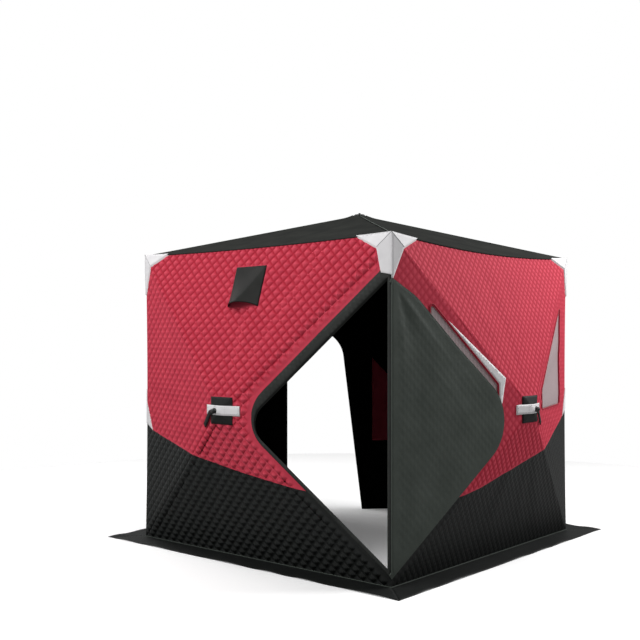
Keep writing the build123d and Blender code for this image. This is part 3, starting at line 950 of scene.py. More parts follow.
def coated_cloth(name, dark, light, roughness, specular=0.2, depth=0.5):
    """Polyurethane-coated polyester: an even weave with soft crumples and a low gloss."""
    material, tree, shader = started(name, roughness, specular)
    place = link_node(tree, "ShaderNodeUVMap", uv_map="UVMap").outputs["UV"]
    tree.links.new(mottled(tree, place, dark, light, 140 * MM), shader.inputs["Base Color"])
    bump = cloth_bump(tree, place, 1.2 * MM, 60 * MM, 0.3, depth)
    tree.links.new(bump.outputs[0], shader.inputs["Normal"])
    return material


def window_film(name, tint, pale):
    """Clear vinyl window behind a fine mesh: upright threads that catch the light."""
    material, tree, shader = started(name, 0.3, 0.5)
    place = link_node(tree, "ShaderNodeUVMap", uv_map="UVMap").outputs["UV"]
    thread_scale = math.pi / (10 * 9 * MM)
    threads = link_node(
        tree,
        "ShaderNodeTexWave",
        {"Scale": thread_scale, "Distortion": 1.5, "Detail": 2.0, "Detail Scale": 3.0},
        {"Vector": place},
        bands_direction="X",
    )
    ramp = link_node(tree, "ShaderNodeValToRGB", links={"Fac": threads.outputs["Fac"]})
    ramp.color_ramp.elements[0].color = tint
    ramp.color_ramp.elements[1].color = pale
    tree.links.new(ramp.outputs["Color"], shader.inputs["Base Color"])
    shader.inputs["Alpha"].default_value = 0.75
    bump = link_node(
        tree, "ShaderNodeBump", {"Strength": 0.4, "Distance": 0.5 * MM}, {"Height": threads.outputs["Fac"]}
    )
    tree.links.new(bump.outputs[0], shader.inputs["Normal"])
    return material


def woven_webbing(name, dark, light):
    """Nylon webbing: ribs across a firm flat weave."""
    material, tree, shader = started(name, 0.7, 0.2)
    place = link_node(tree, "ShaderNodeTexCoord").outputs["Object"]
    tree.links.new(mottled(tree, place, dark, light, 12 * MM, 5.0), shader.inputs["Base Color"])
    ribs = link_node(
        tree,
        "ShaderNodeTexWave",
        {"Scale": math.pi / (10 * 3 * MM)},
        {"Vector": place},
        bands_direction="DIAGONAL",
    )
    bump = link_node(
        tree, "ShaderNodeBump", {"Strength": 0.4, "Distance": 0.5 * MM}, {"Height": ribs.outputs["Fac"]}
    )
    tree.links.new(bump.outputs[0], shader.inputs["Normal"])
    return material


def moulded_plastic(name, colour, roughness, specular=0.5):
    """Glass-filled nylon or pultruded rod: a fine moulded grain with soft highlights."""
    material, tree, shader = started(name, roughness, specular)
    place = link_node(tree, "ShaderNodeTexCoord").outputs["Object"]
    tree.links.new(
        mottled(tree, place, colour, [c * 1.35 for c in colour[:3]] + [1.0], 30 * MM),
        shader.inputs["Base Color"],
    )
    grain = link_node(
        tree, "ShaderNodeTexNoise", {"Scale": 1 / (2 * MM), "Detail": 2.0}, {"Vector": place}
    )
    bump = link_node(
        tree, "ShaderNodeBump", {"Strength": 0.2, "Distance": 0.2 * MM}, {"Height": grain.outputs["Fac"]}
    )
    tree.links.new(bump.outputs[0], shader.inputs["Normal"])
    return material


def finish_of(name):
    """A finish by its name, made the first time it is asked for from the colours that are set."""
    found = bpy.data.materials.get(name)
    if found:
        return found
    colours = bpy.context.scene.shelter_colours
    # The valley red is painted shade for the hollows along the stitch lines.
    red, red_painted_shade = list(colours.red) + [1.0], list(colours.red_valley_shade) + [1.0]
    makers = {
        "quilted red polyester": lambda: quilted_polyester(
            name, red_painted_shade, red, linear("#C24456"), 0.75, 0.1
        ),
        "red cover cloth": lambda: coated_cloth(name, red, linear("#C24456"), 0.7, 0.1),
        # The first black is painted shade for the hollows along the stitch lines.
        "quilted black polyester": lambda: quilted_polyester(
            name, linear("#0A0C0B"), linear("#191C1A"), linear("#141716"), 0.58, 0.3
        ),
        "coated roof polyester": lambda: coated_cloth(
            name, linear("#2A2B2A"), linear("#313230"), 0.9, 0.0
        ),
        "coated door lining": lambda: coated_cloth(name, linear("#3C423D"), linear("#454B46"), 0.6),
        "black lining": lambda: coated_cloth(name, linear("#050606"), linear("#090A09"), 0.8, 0.05),
        "skirt polyester": lambda: coated_cloth(name, linear("#0E100F"), linear("#151716"), 0.6),
        "border polyester": lambda: coated_cloth(name, linear("#262826"), linear("#2E302E"), 0.6),
        "hood polyester": lambda: coated_cloth(name, linear("#151614"), linear("#1F201E"), 0.6, 0.12, 0.4),
        "white reinforcement": lambda: coated_cloth(
            name, linear("#CFCDCF"), linear("#DAD9DA"), 0.6, depth=0.25
        ),
        "window mesh": lambda: window_film(name, linear("#967D80"), linear("#D0C1C3")),
        "black webbing": lambda: woven_webbing(name, linear("#121413"), linear("#1C1E1D")),
        "hub nylon": lambda: moulded_plastic(name, linear("#141514"), 0.45),
        "fibreglass pole": lambda: moulded_plastic(name, linear("#1B1C1B"), 0.3),
        "grey thread": lambda: moulded_plastic(name, linear("#8A8B8B"), 0.7, 0.2),
        "dark thread": lambda: moulded_plastic(name, linear("#3A3D3B"), 0.7, 0.2),
        "red binding": lambda: moulded_plastic(name, linear("#8E1F2E"), 0.6, 0.2),
    }
    return makers[name]()


# What a user would change


class ShelterSizes(PropertyGroup):
    quilt_width: FloatProperty(
        name="Quilt width",
        description="Width of a sewn diamond",
        default=46 * MM,
        min=10 * MM,
        unit="LENGTH",
    )
    quilt_height: FloatProperty(
        name="Quilt height",
        description="Height of a sewn diamond",
        default=50 * MM,
        min=10 * MM,
        unit="LENGTH",
    )
    puff: FloatProperty(
        name="Puff", description="Rise of a diamond over its stitches", default=10 * MM, min=0, unit="LENGTH"
    )
    fold_depth: FloatProperty(
        name="Fold depth",
        description="Depth of the folds that fan out from the hubs",
        default=3.5 * MM,
        min=0,
        unit="LENGTH",
    )
    ripple: FloatProperty(
        name="Skirt ripple",
        description="Rise of the skirt's loose edge",
        default=6 * MM,
        min=0,
        unit="LENGTH",
    )


class ShelterColours(PropertyGroup):
    red: FloatVectorProperty(
        name="Red", description="Crowns of the red quilting", subtype="COLOR", default=linear("#CF4C5D")[:3]
    )
    # Painted shade: the colour mixed into the valleys along the stitch lines, in place of the shade between
    # the puffs.
    red_valley_shade: FloatVectorProperty(
        name="Red valley shade",
        description="Painted shade in the valleys of the red quilting",
        subtype="COLOR",
        default=linear("#A22637")[:3],
    )


# Pieces


class SHELTER_OT_walls(Operator):
    """Quilt the walls in red and black"""

    bl_idname = "shelter.walls"
    bl_label = "Quilted Walls"

    def execute(self, context):
        for wall in WALLS:
            seam = colour_seam(wall)
            lines = wall_lines(wall) + [seam]
            panels = [f"{wall.name}_wall_{face}_panel" for face in FACES]
            top_of_black = seam[:, 1].max() + 20 * MM
            quilted_piece(
                f"{wall.name}_red_quilt",
                wall,
                ((0, seam[:, 1].min() - 20 * MM), (wall.length, EAVES)),
                lines,
                wall_chooser(wall, True, seam),
                finish_of("quilted red polyester"),
                panels,
            )
            quilted_piece(
                f"{wall.name}_black_quilt",
                wall,
                ((0, 0), (wall.length, top_of_black)),
                lines,
                wall_chooser(wall, False, seam),
                finish_of("quilted black polyester"),
                panels[:2],
            )
        return {"FINISHED"}


def lining_mesh(wall):
    """Lining behind a wall's cloth."""
    lines = wall_lines(wall) + wall.ridges()
    flat, triangles = cut(grid((0, 0), (wall.length, EAVES), LINING_STEP), lines, SEAM_STEP)
    cloth = kept(flat, triangles, wall_chooser(wall)(flat[triangles].mean(axis=1)))
    back = -FABRIC
    return stitch_shell(
        wall.name, cloth, wall.place(cloth[0], back + LINING), cloth, wall.place(cloth[0], back)
    )


class SHELTER_OT_linings(Operator):
    """Hang the black linings inside the walls"""

    bl_idname = "shelter.linings"
    bl_label = "Linings"

    def execute(self, context):
        for wall in WALLS + [back_door]:
            piece = show(f"{wall.name}_lining", lining_mesh(wall), finish_of("black lining"))
            finish_piece(piece)
        return {"FINISHED"}


class SHELTER_OT_door_wall(Operator):
    """Make the black cloth of the back door wall"""

    bl_idname = "shelter.door_wall"
    bl_label = "Back Door Wall"

    def execute(self, context):
        quilted_piece(
            "back_door_wall_cloth",
            back_door,
            ((0, 0), (back_door.length, EAVES)),
            wall_lines(back_door),
            wall_chooser(back_door),
            finish_of("quilted black polyester"),
            ["back_door_wall"],
        )
        return {"FINISHED"}


class SHELTER_OT_roof(Operator):
    """Stretch the roof cloths over their poles"""

    bl_idname = "shelter.roof"
    bl_label = "Roof"

    def execute(self, context):
        for wall in WALLS + [back_door]:
            face = RoofFace(wall)
            scatter = grid((0, 0), (wall.length, face.top_y), 26 * MM)
            flat, triangles = cut(scatter, [closed(face.outline)], SEAM_STEP)
            cloth = kept(flat, triangles, inside(flat[triangles].mean(axis=1), face.outline))
            mesh = stitch_shell(
                f"{wall.name}_roof_cloth", cloth, face.place(cloth[0]), cloth, face.place(cloth[0], -LAYER)
            )
            piece = show(mesh.name, mesh, finish_of("coated roof polyester"))
            finish_piece(piece, SHELTER, [f"{wall.name}_roof_panel"])
        return {"FINISHED"}


def stripe_outline(wall, side):
    """White stripe along a window's slanted edge, widening to a leg beside its short edge."""
    near, from_hub, drop, sill = window_sizes(wall, side)
    far = wall.half - from_hub
    edge = 6 * MM
    tip = near + (far - near) * 0.25
    leg = 30 * MM
    sill = HUB_HEIGHT + sill

    def slant(u, gap):
        return wall.upper_ridge(u) - drop + gap

    outline = np.array([
        (tip, slant(tip, edge * 1.4)),
        (far + edge, slant(far + edge, edge * 1.4)),
        (far + edge, sill),
        (far + edge + leg * 0.55, sill),
        (far + leg * 1.7, slant(far, 28 * MM)),
    ])
    return outline if side == "left" else wall.mirrored(outline)


class SHELTER_OT_windows(Operator):
    """Set the window meshes, their bindings and their white stripes"""

    bl_idname = "shelter.windows"
    bl_label = "Windows"

    def execute(self, context):
        for wall in WALLS[1:]:
            screens, covers_inside, stripes, bindings = [], [], [], []
            for side in ("left", "right"):
                outline = window_outline(wall, side)
                over = window_outline(wall, side, COVER_LAP)
                covers_inside.append(flat_cloth("cover", wall, over, -FABRIC - 0.5 * MM, -FABRIC - 2.5 * MM))
                screens.append(flat_cloth("screen", wall, outline, -3 * MM, -4 * MM))
                rim = divided(closed(window_outline(wall, side, 2 * MM)), SEAM_STEP)
                bindings.append(wall.place(rim, 1.5 * MM))
            for side in striped_sides(wall):
                stripes.append(flat_cloth("stripe", wall, stripe_outline(wall, side), BORDER_LIFT, SEWN_UNDER))
            screen = show(f"{wall.name}_screens", joined("screens", screens), finish_of("window mesh"))
            finish_piece(screen, SHELTER, [f"{wall.name}_window_screens"])
            inside_cover = joined("window_covers", covers_inside)
            sewn(f"{wall.name}_window_covers", inside_cover, "red cover cloth", "red_quilt")
            sewn(f"{wall.name}_stripes", joined("stripes", stripes), "white reinforcement", "white_patch")
            binding = follow(
                f"{wall.name}_window_bindings",
                bindings,
                shared_tree("Welt", welt_tree),
                finish_of("red binding"),
                Radius=3 * MM,
            )
            finish_piece(binding)
        return {"FINISHED"}


PATCH_LIFT = 4.4 * MM
PATCH_ALONG_EAVE = 215 * MM
PATCH_NOTCH = 74 * MM
PATCH_TAIL = 30 * MM
PATCH_DOWN_CORNER = 240 * MM
PATCH_ABOVE_FLAP = 205 * MM
TAIL_ABOVE_FLAP = 52 * MM


def patch_fall(wall, side):
    """How far a corner patch reaches down its corner, and its width low down."""
    if wall is front_left and side == "right":
        return PATCH_ABOVE_FLAP, TAIL_ABOVE_FLAP
    return PATCH_DOWN_CORNER, PATCH_TAIL


def corner_patch(wall, side):
    """Reinforcing patch on one wall, beside one top corner."""
    fall, tail = patch_fall(wall, side)
    outline = np.array([
        (0, EAVES),
        (0, EAVES - fall),
        (tail, wall.upper_ridge(tail) - 0.6 * PATCH_DOWN_CORNER),
        (PATCH_NOTCH, wall.upper_ridge(PATCH_NOTCH)),
        (PATCH_ALONG_EAVE, EAVES),
    ])
    return outline if side == "left" else wall.mirrored(outline)


def patch_trim(wall, side):
    """Seam down a corner patch's crease, and its rolled edge along the tent's corner."""
    edge = 0.0 if side == "left" else wall.length
    notch = abs(edge - PATCH_NOTCH)
    crease = np.array([(edge, EAVES), (notch, wall.upper_ridge(PATCH_NOTCH))])
    corner = np.array([(edge, EAVES), (edge, EAVES - patch_fall(wall, side)[0] + 5 * MM)])
    lines = ((crease, PATCH_LIFT + 0.2 * MM), (corner, 2 * MM))
    return [wall.place(divided(line, SEAM_STEP), lift) for line, lift in lines]


def side_patch(wall, side):
    """Small white patch where the colour seam meets a wall's corner."""
    seam = colour_seam(wall)
    at_corner = seam[0] if side == "left" else seam[-1]
    kink = seam[1] if side == "left" else seam[-2]
    return np.array([at_corner, kink, (at_corner[0], at_corner[1] + 128 * MM)])


ROLLED_CORNERS = ((front_left, "left"), (front_left, "right"), (front_right, "right"))
SIDE_PATCHES = (
    (front_left, "left"),
    (back_left, "right"),
    (front_right, "right"),
    (back_right, "left"),
    (back_right, "right"),
    (back_left, "left"),
)


class SHELTER_OT_patches(Operator):
    """Sew the white patches on the corners"""

    bl_idname = "shelter.patches"
    bl_label = "Corner Patches"

    def execute(self, context):
        meshes = []
        for wall in WALLS:
            for side in ("left", "right"):
                meshes.append(flat_cloth("patch", wall, corner_patch(wall, side), PATCH_LIFT, SEWN_UNDER))
        patches = joined("patches", meshes)
        sewn("corner_patch_cloth", patches, "white reinforcement", "white_patch", "corner_patches")
        meshes = []
        for wall, side in SIDE_PATCHES:
            meshes.append(flat_cloth("patch", wall, side_patch(wall, side), SEWN_LIFT, SEWN_UNDER))
        sewn("side_patch_cloth", joined("side_patches", meshes), "white reinforcement", "white_patch")
        creases = [patch_trim(wall, side)[0] for wall in WALLS for side in ("left", "right")]
        rolls = [patch_trim(*place)[1] for place in ROLLED_CORNERS]
        welt = shared_tree("Welt", welt_tree)
        for name, paths, material, radius in (
            ("corner_patch_creases", creases, "grey thread", 1.2 * MM),
            ("corner_patch_rolls", rolls, "white reinforcement", 5 * MM),
        ):
            finish_piece(follow(name, paths, welt, finish_of(material), Radius=radius))
        return {"FINISHED"}


HUB_PATCH = (160 * MM, 142 * MM)
STRAP = (246 * MM, 50 * MM)
PULL_SIDES = {"front_left": -1, "front_right": 1, "back_right": -1, "back_left": 1}
PULL_WIDTH = 24 * MM
PULL_PATH = ((31 * MM, -3 * MM), (86 * MM, -20 * MM), (143 * MM, -92 * MM))


def rectangle(centre, width, height):
    """Outline of a level rectangle."""
    x, y = width / 2, height / 2
    return np.array([(centre[0] + a * x, centre[1] + b * y) for a, b in ((-1, -1), (1, -1), (1, 1), (-1, 1))])


def band(path, width):
    """Outline of a flat band along a path, mitred where the path turns."""
    runs = [unit(end - start) for start, end in zip(path[:-1], path[1:])]
    sides = []
    for before, after in zip(runs[:1] + runs, runs + runs[-1:]):
        across = np.array([-before[1] - after[1], before[0] + after[0]])
        sides.append(across * width / 2 / (1 + before @ after))
    return np.vstack([path - sides, (path + sides)[::-1]])


def pull_mesh(wall):
    """Webbing pull that leaves its knob to one side and hangs down."""
    toward = PULL_SIDES[wall.name]
    path = wall.hub + np.array(PULL_PATH) * [toward, 1]
    return flat_cloth("pull", wall, band(path, PULL_WIDTH), 9 * MM, 4.8 * MM, 12 * MM)


class SHELTER_OT_hubs(Operator):
    """Sew the hub patches, straps and pulls"""

    bl_idname = "shelter.hubs"
    bl_label = "Hub Trim"

    def execute(self, context):
        patches, straps, pulls, knobs = [], [], [], []
        for wall in WALLS:
            patches.append(flat_cloth("patch", wall, rectangle(wall.hub, *HUB_PATCH), SEWN_LIFT, SEWN_UNDER))
            straps.append(flat_cloth("strap", wall, rectangle(wall.hub, *STRAP), 4.6 * MM, 0.5 * MM))
            pulls.append(pull_mesh(wall))
            knobs.append(knob_mesh(wall))
        sewn("hub_patch_cloth", joined("hub_patches", patches), "black webbing", "webbing", "hub_patches")
        sewn("hub_straps", joined("straps", straps), "white reinforcement", "white_patch", "hub_patches")
        sewn("hub_pull_webbing", joined("pulls", pulls), "black webbing", "webbing", "hub_pulls")
        sewn("hub_knobs", joined("knobs", knobs), "hub nylon", "hub_plastic")
        return {"FINISHED"}


KNOB_PROFILE = [
    (0.0, 26.0),
    (7.0, 25.0),
    (11.5, 21.0),
    (12.5, 15.0),
    (9.0, 11.0),
    (7.5, 8.0),
    (14.0, 5.0),
    (14.0, 0.0),
]


def knob_mesh(wall):
    """Turned knob at the top of a pull, standing out from the hub."""
    toward = PULL_SIDES[wall.name]
    centre = wall.place(np.array([wall.hub + np.array(PULL_PATH[0]) * [toward, 1]]), 4 * MM)[0]
    up = np.array([0, 0, 1.0])
    points, faces, turns = [], [], 20
    for radius, height in KNOB_PROFILE:
        for turn in range(turns):
            angle = 2 * math.pi * turn / turns
            spoke = wall.along * math.cos(angle) + up * math.sin(angle)
            points.append(centre + spoke * radius * MM + wall.outward * height * MM)
    for ring in range(len(KNOB_PROFILE) - 1):
        for turn in range(turns):
            after = (turn + 1) % turns
            a, b = ring * turns + turn, ring * turns + after
            faces.append([a, a + turns, b + turns, b])
    faces.append([(len(KNOB_PROFILE) - 1) * turns + turn for turn in reversed(range(turns))])
    mesh = bpy.data.meshes.new("knob")
    mesh.from_pydata([tuple(p) for p in points], [], faces)
    mesh.polygons.foreach_set("use_smooth", [len(face) == 4 for face in faces])
    mesh.uv_layers.new(name="UVMap")
    return mesh


HOOD_WIDTH = 226 * MM
HOOD_TOP = 1600 * MM
HOOD_FOOT = 1375 * MM
HOOD_MIDDLE = 940 * MM
HOOD_DEPTH = 60 * MM
HOOD_ARCH = 26 * MM
HOOD_RIDGE = 0.42


class SHELTER_OT_vent_hood(Operator):
    """Shape the vent hood, creased from its top corner to the middle of its mouth"""

    bl_idname = "shelter.vent_hood"
    bl_label = "Vent Hood"

    def execute(self, context):
        steps = 28
        share = np.linspace(0, 1, steps + 1)
        across, down = (a.ravel() for a in np.meshgrid(share, share))
        ridge = 1 - (1 - HOOD_RIDGE) * down
        left = HOOD_DEPTH * down * np.sin(math.pi / 2 * np.clip(across / ridge, 0, 1)) ** 0.7
        right = HOOD_DEPTH * (1 - across) / (1 - HOOD_RIDGE)
        lift = np.where(across < ridge, left, np.minimum(right, HOOD_DEPTH * down)) + 3 * MM
        arch = HOOD_ARCH * np.sin(math.pi * across) ** 0.8 * down**3
        u = HOOD_MIDDLE + (across - 0.5) * HOOD_WIDTH
        z = HOOD_TOP - (HOOD_TOP - HOOD_FOOT) * down + arch
        flat = np.column_stack([u, z])
        outer_at = front_left.place(flat) + np.outer(lift, front_left.outward)
        inner_at = outer_at - front_left.outward * 3 * MM
        width = steps + 1
        triangles = []
        for row in range(steps):
            for column in range(steps):
                a = row * width + column
                triangles += [(a, a + width, a + width + 1), (a, a + width + 1, a + 1)]
        cloth = (flat, np.array(triangles))
        mesh = stitch_shell("vent_hood_cloth", cloth, outer_at, cloth, inner_at)
        sewn("vent_hood_cloth", mesh, "hood polyester", "roof_fabric", "vent_hood")
        return {"FINISHED"}


def flap_mesh(name, flap, outline, puff_height, billow, hem):
    """Padded flap, quilted on both faces: level along its hem, with folds that fan out from its top."""
    low, high = outline.min(axis=0), outline.max(axis=0)
    scatter = FINE_QUILT.points(low, high)
    flat, triangles = cut(scatter, [closed(outline)], SEAM_STEP, CREASE_STRETCH)
    cloth = kept(flat, triangles, inside(flat[triangles].mean(axis=1), outline))
    flat = cloth[0]
    edge = distance(flat, [closed(outline)])
    fade = np.clip((edge - hem) / (15 * MM), 0, 1)
    crown = crowns(FINE_QUILT, flat)
    height = (crown - 0.5) * puff_height * fade
    full = np.clip((edge - hem) / (160 * MM), 0, 1) ** 2
    r, z = flat.T
    wave = np.sin(r * 9.0 + 1.3 * np.sin(z * 5.0)) * 0.55 + np.sin(z * 7.0 + r * 6.0) * 0.45
    below = outline[:, 1].max() - z
    fan = np.arctan2(r, np.maximum(below, 1e-3))
    pulled = np.exp(-np.hypot(r, below) / PULLED_REACH) * np.clip((edge - hem) / (40 * MM), 0, 1)
    soft = billow * (full * wave + pulled * np.sin(FAN_FOLDS * fan))
    thick = np.where(edge < 1e-6, 2.2 * MM, 3.6 * MM)
    mesh = stitch_shell(
        name,
        cloth,
        flap.place(flat, soft + thick + height),
        cloth,
        flap.place(flat, soft - thick - height),
    )
    # Crown share, which the quilted finish reads as the mask for painted shade in the stitch-line valleys.
    share = crown * fade + 0.5 * (1 - fade)
    mesh.attributes.new("crown", "FLOAT", "POINT").data.foreach_set("value", np.concatenate([share, share]))
    return mesh


def flap_hem(name, flap, line, width, lift):
    """Band of binding over both faces of a flap along a free edge; its line runs anticlockwise."""
    line = divided(line, SEAM_STEP)
    runs = np.gradient(line, axis=0)
    runs /= np.linalg.norm(runs, axis=1, keepdims=True)
    inner = line + np.column_stack([-runs[:, 1], runs[:, 0]]) * width
    points, faces = [], []
    count = len(line)
    for flat, height in ((line, lift), (inner, lift), (inner, -lift), (line, -lift)):
        points.extend(flap.place(flat, np.full(count, height)))
    for side in range(4):
        other = (side + 1) % 4
        for i in range(count - 1):
            a, b = side * count + i, other * count + i
            faces.append([a, a + 1, b + 1, b])
    faces.append([side * count for side in range(4)])
    faces.append([side * count + count - 1 for side in reversed(range(4))])
    mesh = bpy.data.meshes.new(name)
    mesh.from_pydata([tuple(p) for p in points], [], faces)
    mesh.uv_layers.new(name="UVMap")
    return mesh


FAN_FOLDS = 11
PULLED_REACH = 450 * MM
FLAP_SHOULDER = 150 * MM
FLAP_DROOP = 66 * MM
SHOULDER_HANG = 17 * MM
FLAP_HANG = 12 * MM
SHOULDER_ROUND = 300 * MM
HANG_ROUND = 1500 * MM
FRONT_FLAP = Flap("front_door_hinge", (FRONT, (0, -HALF - FRONT_HUB_OUT)))
REAR_FLAP = Flap("rear_door_hinge", (DOOR_LEFT, DOOR_RIGHT))


class SHELTER_OT_front_door(Operator):
    """Sew the front door's border and its flap"""

    bl_idname = "shelter.front_door"
    bl_label = "Front Door"

    def execute(self, context):
        border = flat_cloth(
            "front_door_border_cloth",
            front_left,
            front_border(),
            BORDER_LIFT,
            -FABRIC,
            BORDER_STEP,
            holes=[front_opening()],
        )
        sewn("front_door_border_cloth", border, "border polyester", "lining", "front_door_border")
        stretch = math.hypot(front_left.half, front_left.hub_out) / front_left.half
        foot, tip, top = front_door_outline(0, FLAP_DROP, FLAP_RISE)
        tip = np.array([tip[0] * stretch, tip[1]])
        shoulder = top + (tip - top) * FLAP_SHOULDER / tip[0] - [0, SHOULDER_HANG]
        top = (0, top[1] - FLAP_DROOP)
        middle = shoulder + (tip - shoulder) * 0.38 - [0, FLAP_HANG]
        rounds = [0, FLAP_TIP_ROUND, HANG_ROUND, SHOULDER_ROUND, 0]
        outline = rounded([foot, tip, middle, shoulder, top], rounds, 24)
        mesh = flap_mesh("front_door_flap_cloth", FRONT_FLAP, outline, 1.6 * MM, 7 * MM, 34 * MM)
        piece = show("front_door_flap_cloth", mesh, finish_of("coated door lining"))
        finish_piece(piece, FRONT_FLAP.body, ["front_door_flap"])
        hem = show(
            "front_door_flap_hem",
            flap_hem("front_door_flap_hem", FRONT_FLAP, outline, 24 * MM, 3.4 * MM),
            finish_of("coated door lining"),
        )
        finish_piece(hem, FRONT_FLAP.body)
        roll = follow(
            "front_door_flap_roll",
            [FRONT_FLAP.place(np.array([(0, foot[1]), (0, top[1])]), np.zeros(2))],
            shared_tree("Welt", welt_tree),
            finish_of("coated door lining"),
            Radius=4 * MM,
        )
        finish_piece(roll, FRONT_FLAP.body)
        return {"FINISHED"}


INSIDE_COVER = np.array([(30, 495), (270, 495), (270, 1085), (30, 835)]) * MM


class SHELTER_OT_rear_door(Operator):
    """Sew the rear door's border and its flap"""

    bl_idname = "shelter.rear_door"
    bl_label = "Rear Door"

    def execute(self, context):
        hinge_side = back_door.length - REAR_HINGE_MARGIN
        border = flat_cloth(
            "rear_door_border_cloth",
            back_door,
            rear_arch(REAR_BORDER, 0, hinge_side + SEAM_WIDTH),
            BORDER_LIFT,
            -FABRIC,
            BORDER_STEP,
            holes=[rear_arch(0, -1 * MM, hinge_side)],
        )
        sewn("rear_door_border_cloth", border, "border polyester", "lining", "rear_door_border")
        face, back = -FABRIC - 1 * MM, -FABRIC - 5 * MM
        hanging = flat_cloth("inside_cover_cloth", back_door, INSIDE_COVER, face, back)
        sewn("inside_cover_cloth", hanging, "red cover cloth", "red_quilt")
        low = corners_of("rear_door_flap")[0][2]
        arch = rear_arch(REAR_BORDER, low, back_door.length)
        outline = back_door.mirrored(arch)
        mesh = flap_mesh("rear_door_flap_cloth", REAR_FLAP, outline, 2.4 * MM, 6 * MM, 60 * MM)
        piece = show("rear_door_flap_cloth", mesh, finish_of("quilted black polyester"))
        finish_piece(piece, REAR_FLAP.body, ["rear_door_flap"])
        start = int(np.argmax(outline[:, 0] > 1e-4))
        order = np.roll(outline, -start, axis=0)
        free = order[: len(outline) - 2]
        hem = show(
            "rear_door_flap_hem",
            flap_hem("rear_door_flap_hem", REAR_FLAP, free, 62 * MM, 4.6 * MM),
            finish_of("border polyester"),
        )
        finish_piece(hem, REAR_FLAP.body)
        roll = follow(
            "rear_door_flap_roll",
            [REAR_FLAP.place(np.array([(0, low), (0, REAR_TOP + REAR_BORDER)]), np.zeros(2))],
            shared_tree("Welt", welt_tree),
            finish_of("quilted black polyester"),
            Radius=4 * MM,
        )
        finish_piece(roll, REAR_FLAP.body)
        return {"FINISHED"}


SKIRT_WIDTH = 160 * MM
SKIRT_THICK = 3 * MM


class SHELTER_OT_skirts(Operator):
    """Lay the snow skirts, a little rippled along their loose edges"""

    bl_idname = "shelter.skirts"
    bl_label = "Snow Skirts"

    def execute(self, context):
        sizes = context.scene.shelter_sizes
        for wall in WALLS:
            node = f"{wall.name}_skirt"
            start_out = 0 if wall is back_left else SKIRT_WIDTH
            end_out = 0 if wall is back_right else SKIRT_WIDTH
            seat = 1.3 * MM
            outline = np.array([
                (0 if start_out == 0 else -seat, seat),
                (wall.length if end_out == 0 else wall.length + seat, seat),
                (wall.length + end_out, SKIRT_WIDTH),
                (-start_out, SKIRT_WIDTH),
            ])
            low, high = outline.min(axis=0), outline.max(axis=0)
            flat, triangles = cut(grid(low, high, 18 * MM), [closed(outline)], SEAM_STEP)
            cloth = kept(flat, triangles, inside(flat[triangles].mean(axis=1), outline))
            u, out = cloth[0].T
            loose = np.clip(out / SKIRT_WIDTH, 0, 1) ** 2
            wave = 0.5 + 0.5 * np.sin(u * 17 + wall.seed + 2.0 * np.sin(u * 5.0))
            height = sizes.ripple * loose * wave * np.clip((u - low[0]) / 0.1, 0, 1)
            height *= np.clip((high[0] - u) / 0.1, 0, 1)
            base = wall.start + np.outer(u, wall.along) + np.outer(out, wall.outward)
            top = base + np.outer(height + SKIRT_THICK, [0, 0, 1])
            under = base + np.outer(height + 0.3 * MM, [0, 0, 1])
            turned = (cloth[0], cloth[1][:, ::-1])
            mesh = stitch_shell(f"{wall.name}_skirt_cloth", turned, top, turned, under)
            piece = show(mesh.name, mesh, finish_of("skirt polyester"))
            finish_piece(piece, SHELTER, [node])
        return {"FINISHED"}


class SHELTER_OT_seams(Operator):
    """Run the welts and the stitch rows along the seams"""

    bl_idname = "shelter.seams"
    bl_label = "Welts and Stitches"

    def execute(self, context):
        eaves, bases, roofs = [], [], []
        for wall in WALLS + [back_door]:
            edge = divided(np.array([(0, EAVES), (wall.length, EAVES)]), SEAM_STEP)
            eaves.append(wall.place(edge, 1 * MM))
            face = RoofFace(wall)
            rise = divided(np.array([(0, 0), (face.top_x, face.top_y)]), SEAM_STEP)[:-3]
            roofs.append(face.place(rise, 0.5 * MM))
        for wall in WALLS:
            base = divided(np.array([(0, 4 * MM), (wall.length, 4 * MM)]), SEAM_STEP)
            bases.append(wall.place(base, 2 * MM))
        welt = shared_tree("Welt", welt_tree)
        for name, paths, material, radius, slot in (
            ("eave_welts", eaves, "coated roof polyester", 4 * MM, "roof_fabric"),
            ("roof_ridge_welts", roofs, "coated door lining", 2 * MM, "roof_fabric"),
            ("base_welts", bases, "coated door lining", 2.5 * MM, "skirt_fabric"),
        ):
            finish_piece(follow(name, paths, welt, finish_of(material), Radius=radius))
        stitch = shared_tree("Stitch row", stitch_tree)
        pale, dark = [], []
        for wall in WALLS:
            for width, height in ((0.93, 0.72), (0.3, 0.72)):
                box = rectangle(wall.hub, STRAP[0] * width, STRAP[1] * height)
                pale.append(wall.place(divided(closed(box), SEAM_STEP), 5.0 * MM))
        border = front_opening(BORDER_ABOVE - 8 * MM, BORDER_BELOW - 8 * MM, BORDER_TIP_ROUND)
        dark.append(front_left.place(divided(border, SEAM_STEP), 3.6 * MM))
        for name, paths, material in (
            ("pale_stitches", pale, "grey thread"),
            ("dark_stitches", dark, "dark thread"),
        ):
            rows = {"Spacing": 12 * MM, "Stitch length": 7 * MM, "Thread": 1.6 * MM}
            finish_piece(follow(name, paths, stitch, finish_of(material), **rows))
        return {"FINISHED"}


class SHELTER_OT_frame_finish(Operator):
    """Give the poles, hubs, cap and hinge seams their finish"""

    bl_idname = "shelter.frame_finish"
    bl_label = "Frame Finish"

    def execute(self, context):
        finishes = {f"{wall.name}_frame": "fibreglass pole" for wall in WALLS}
        finishes["roof_frame"] = "fibreglass pole"
        finishes["roof_cap"] = "hub nylon"
        finishes["front_door_hinge_seam"] = "black webbing"
        finishes["rear_door_hinge_seam"] = "black webbing"
        for node, material in finishes.items():
            slots = frame["nodes"][node].material_slots
            for slot in slots:
                slot.link = "OBJECT"
                slot.material = finish_of(material)
        return {"FINISHED"}


CAMERA_AT = (3.591, -4.549, 1.174)
CAMERA_TURN = math.radians(40.706)
CAMERA_LENS = 52.6
CAMERA_SHIFT = 0.0367

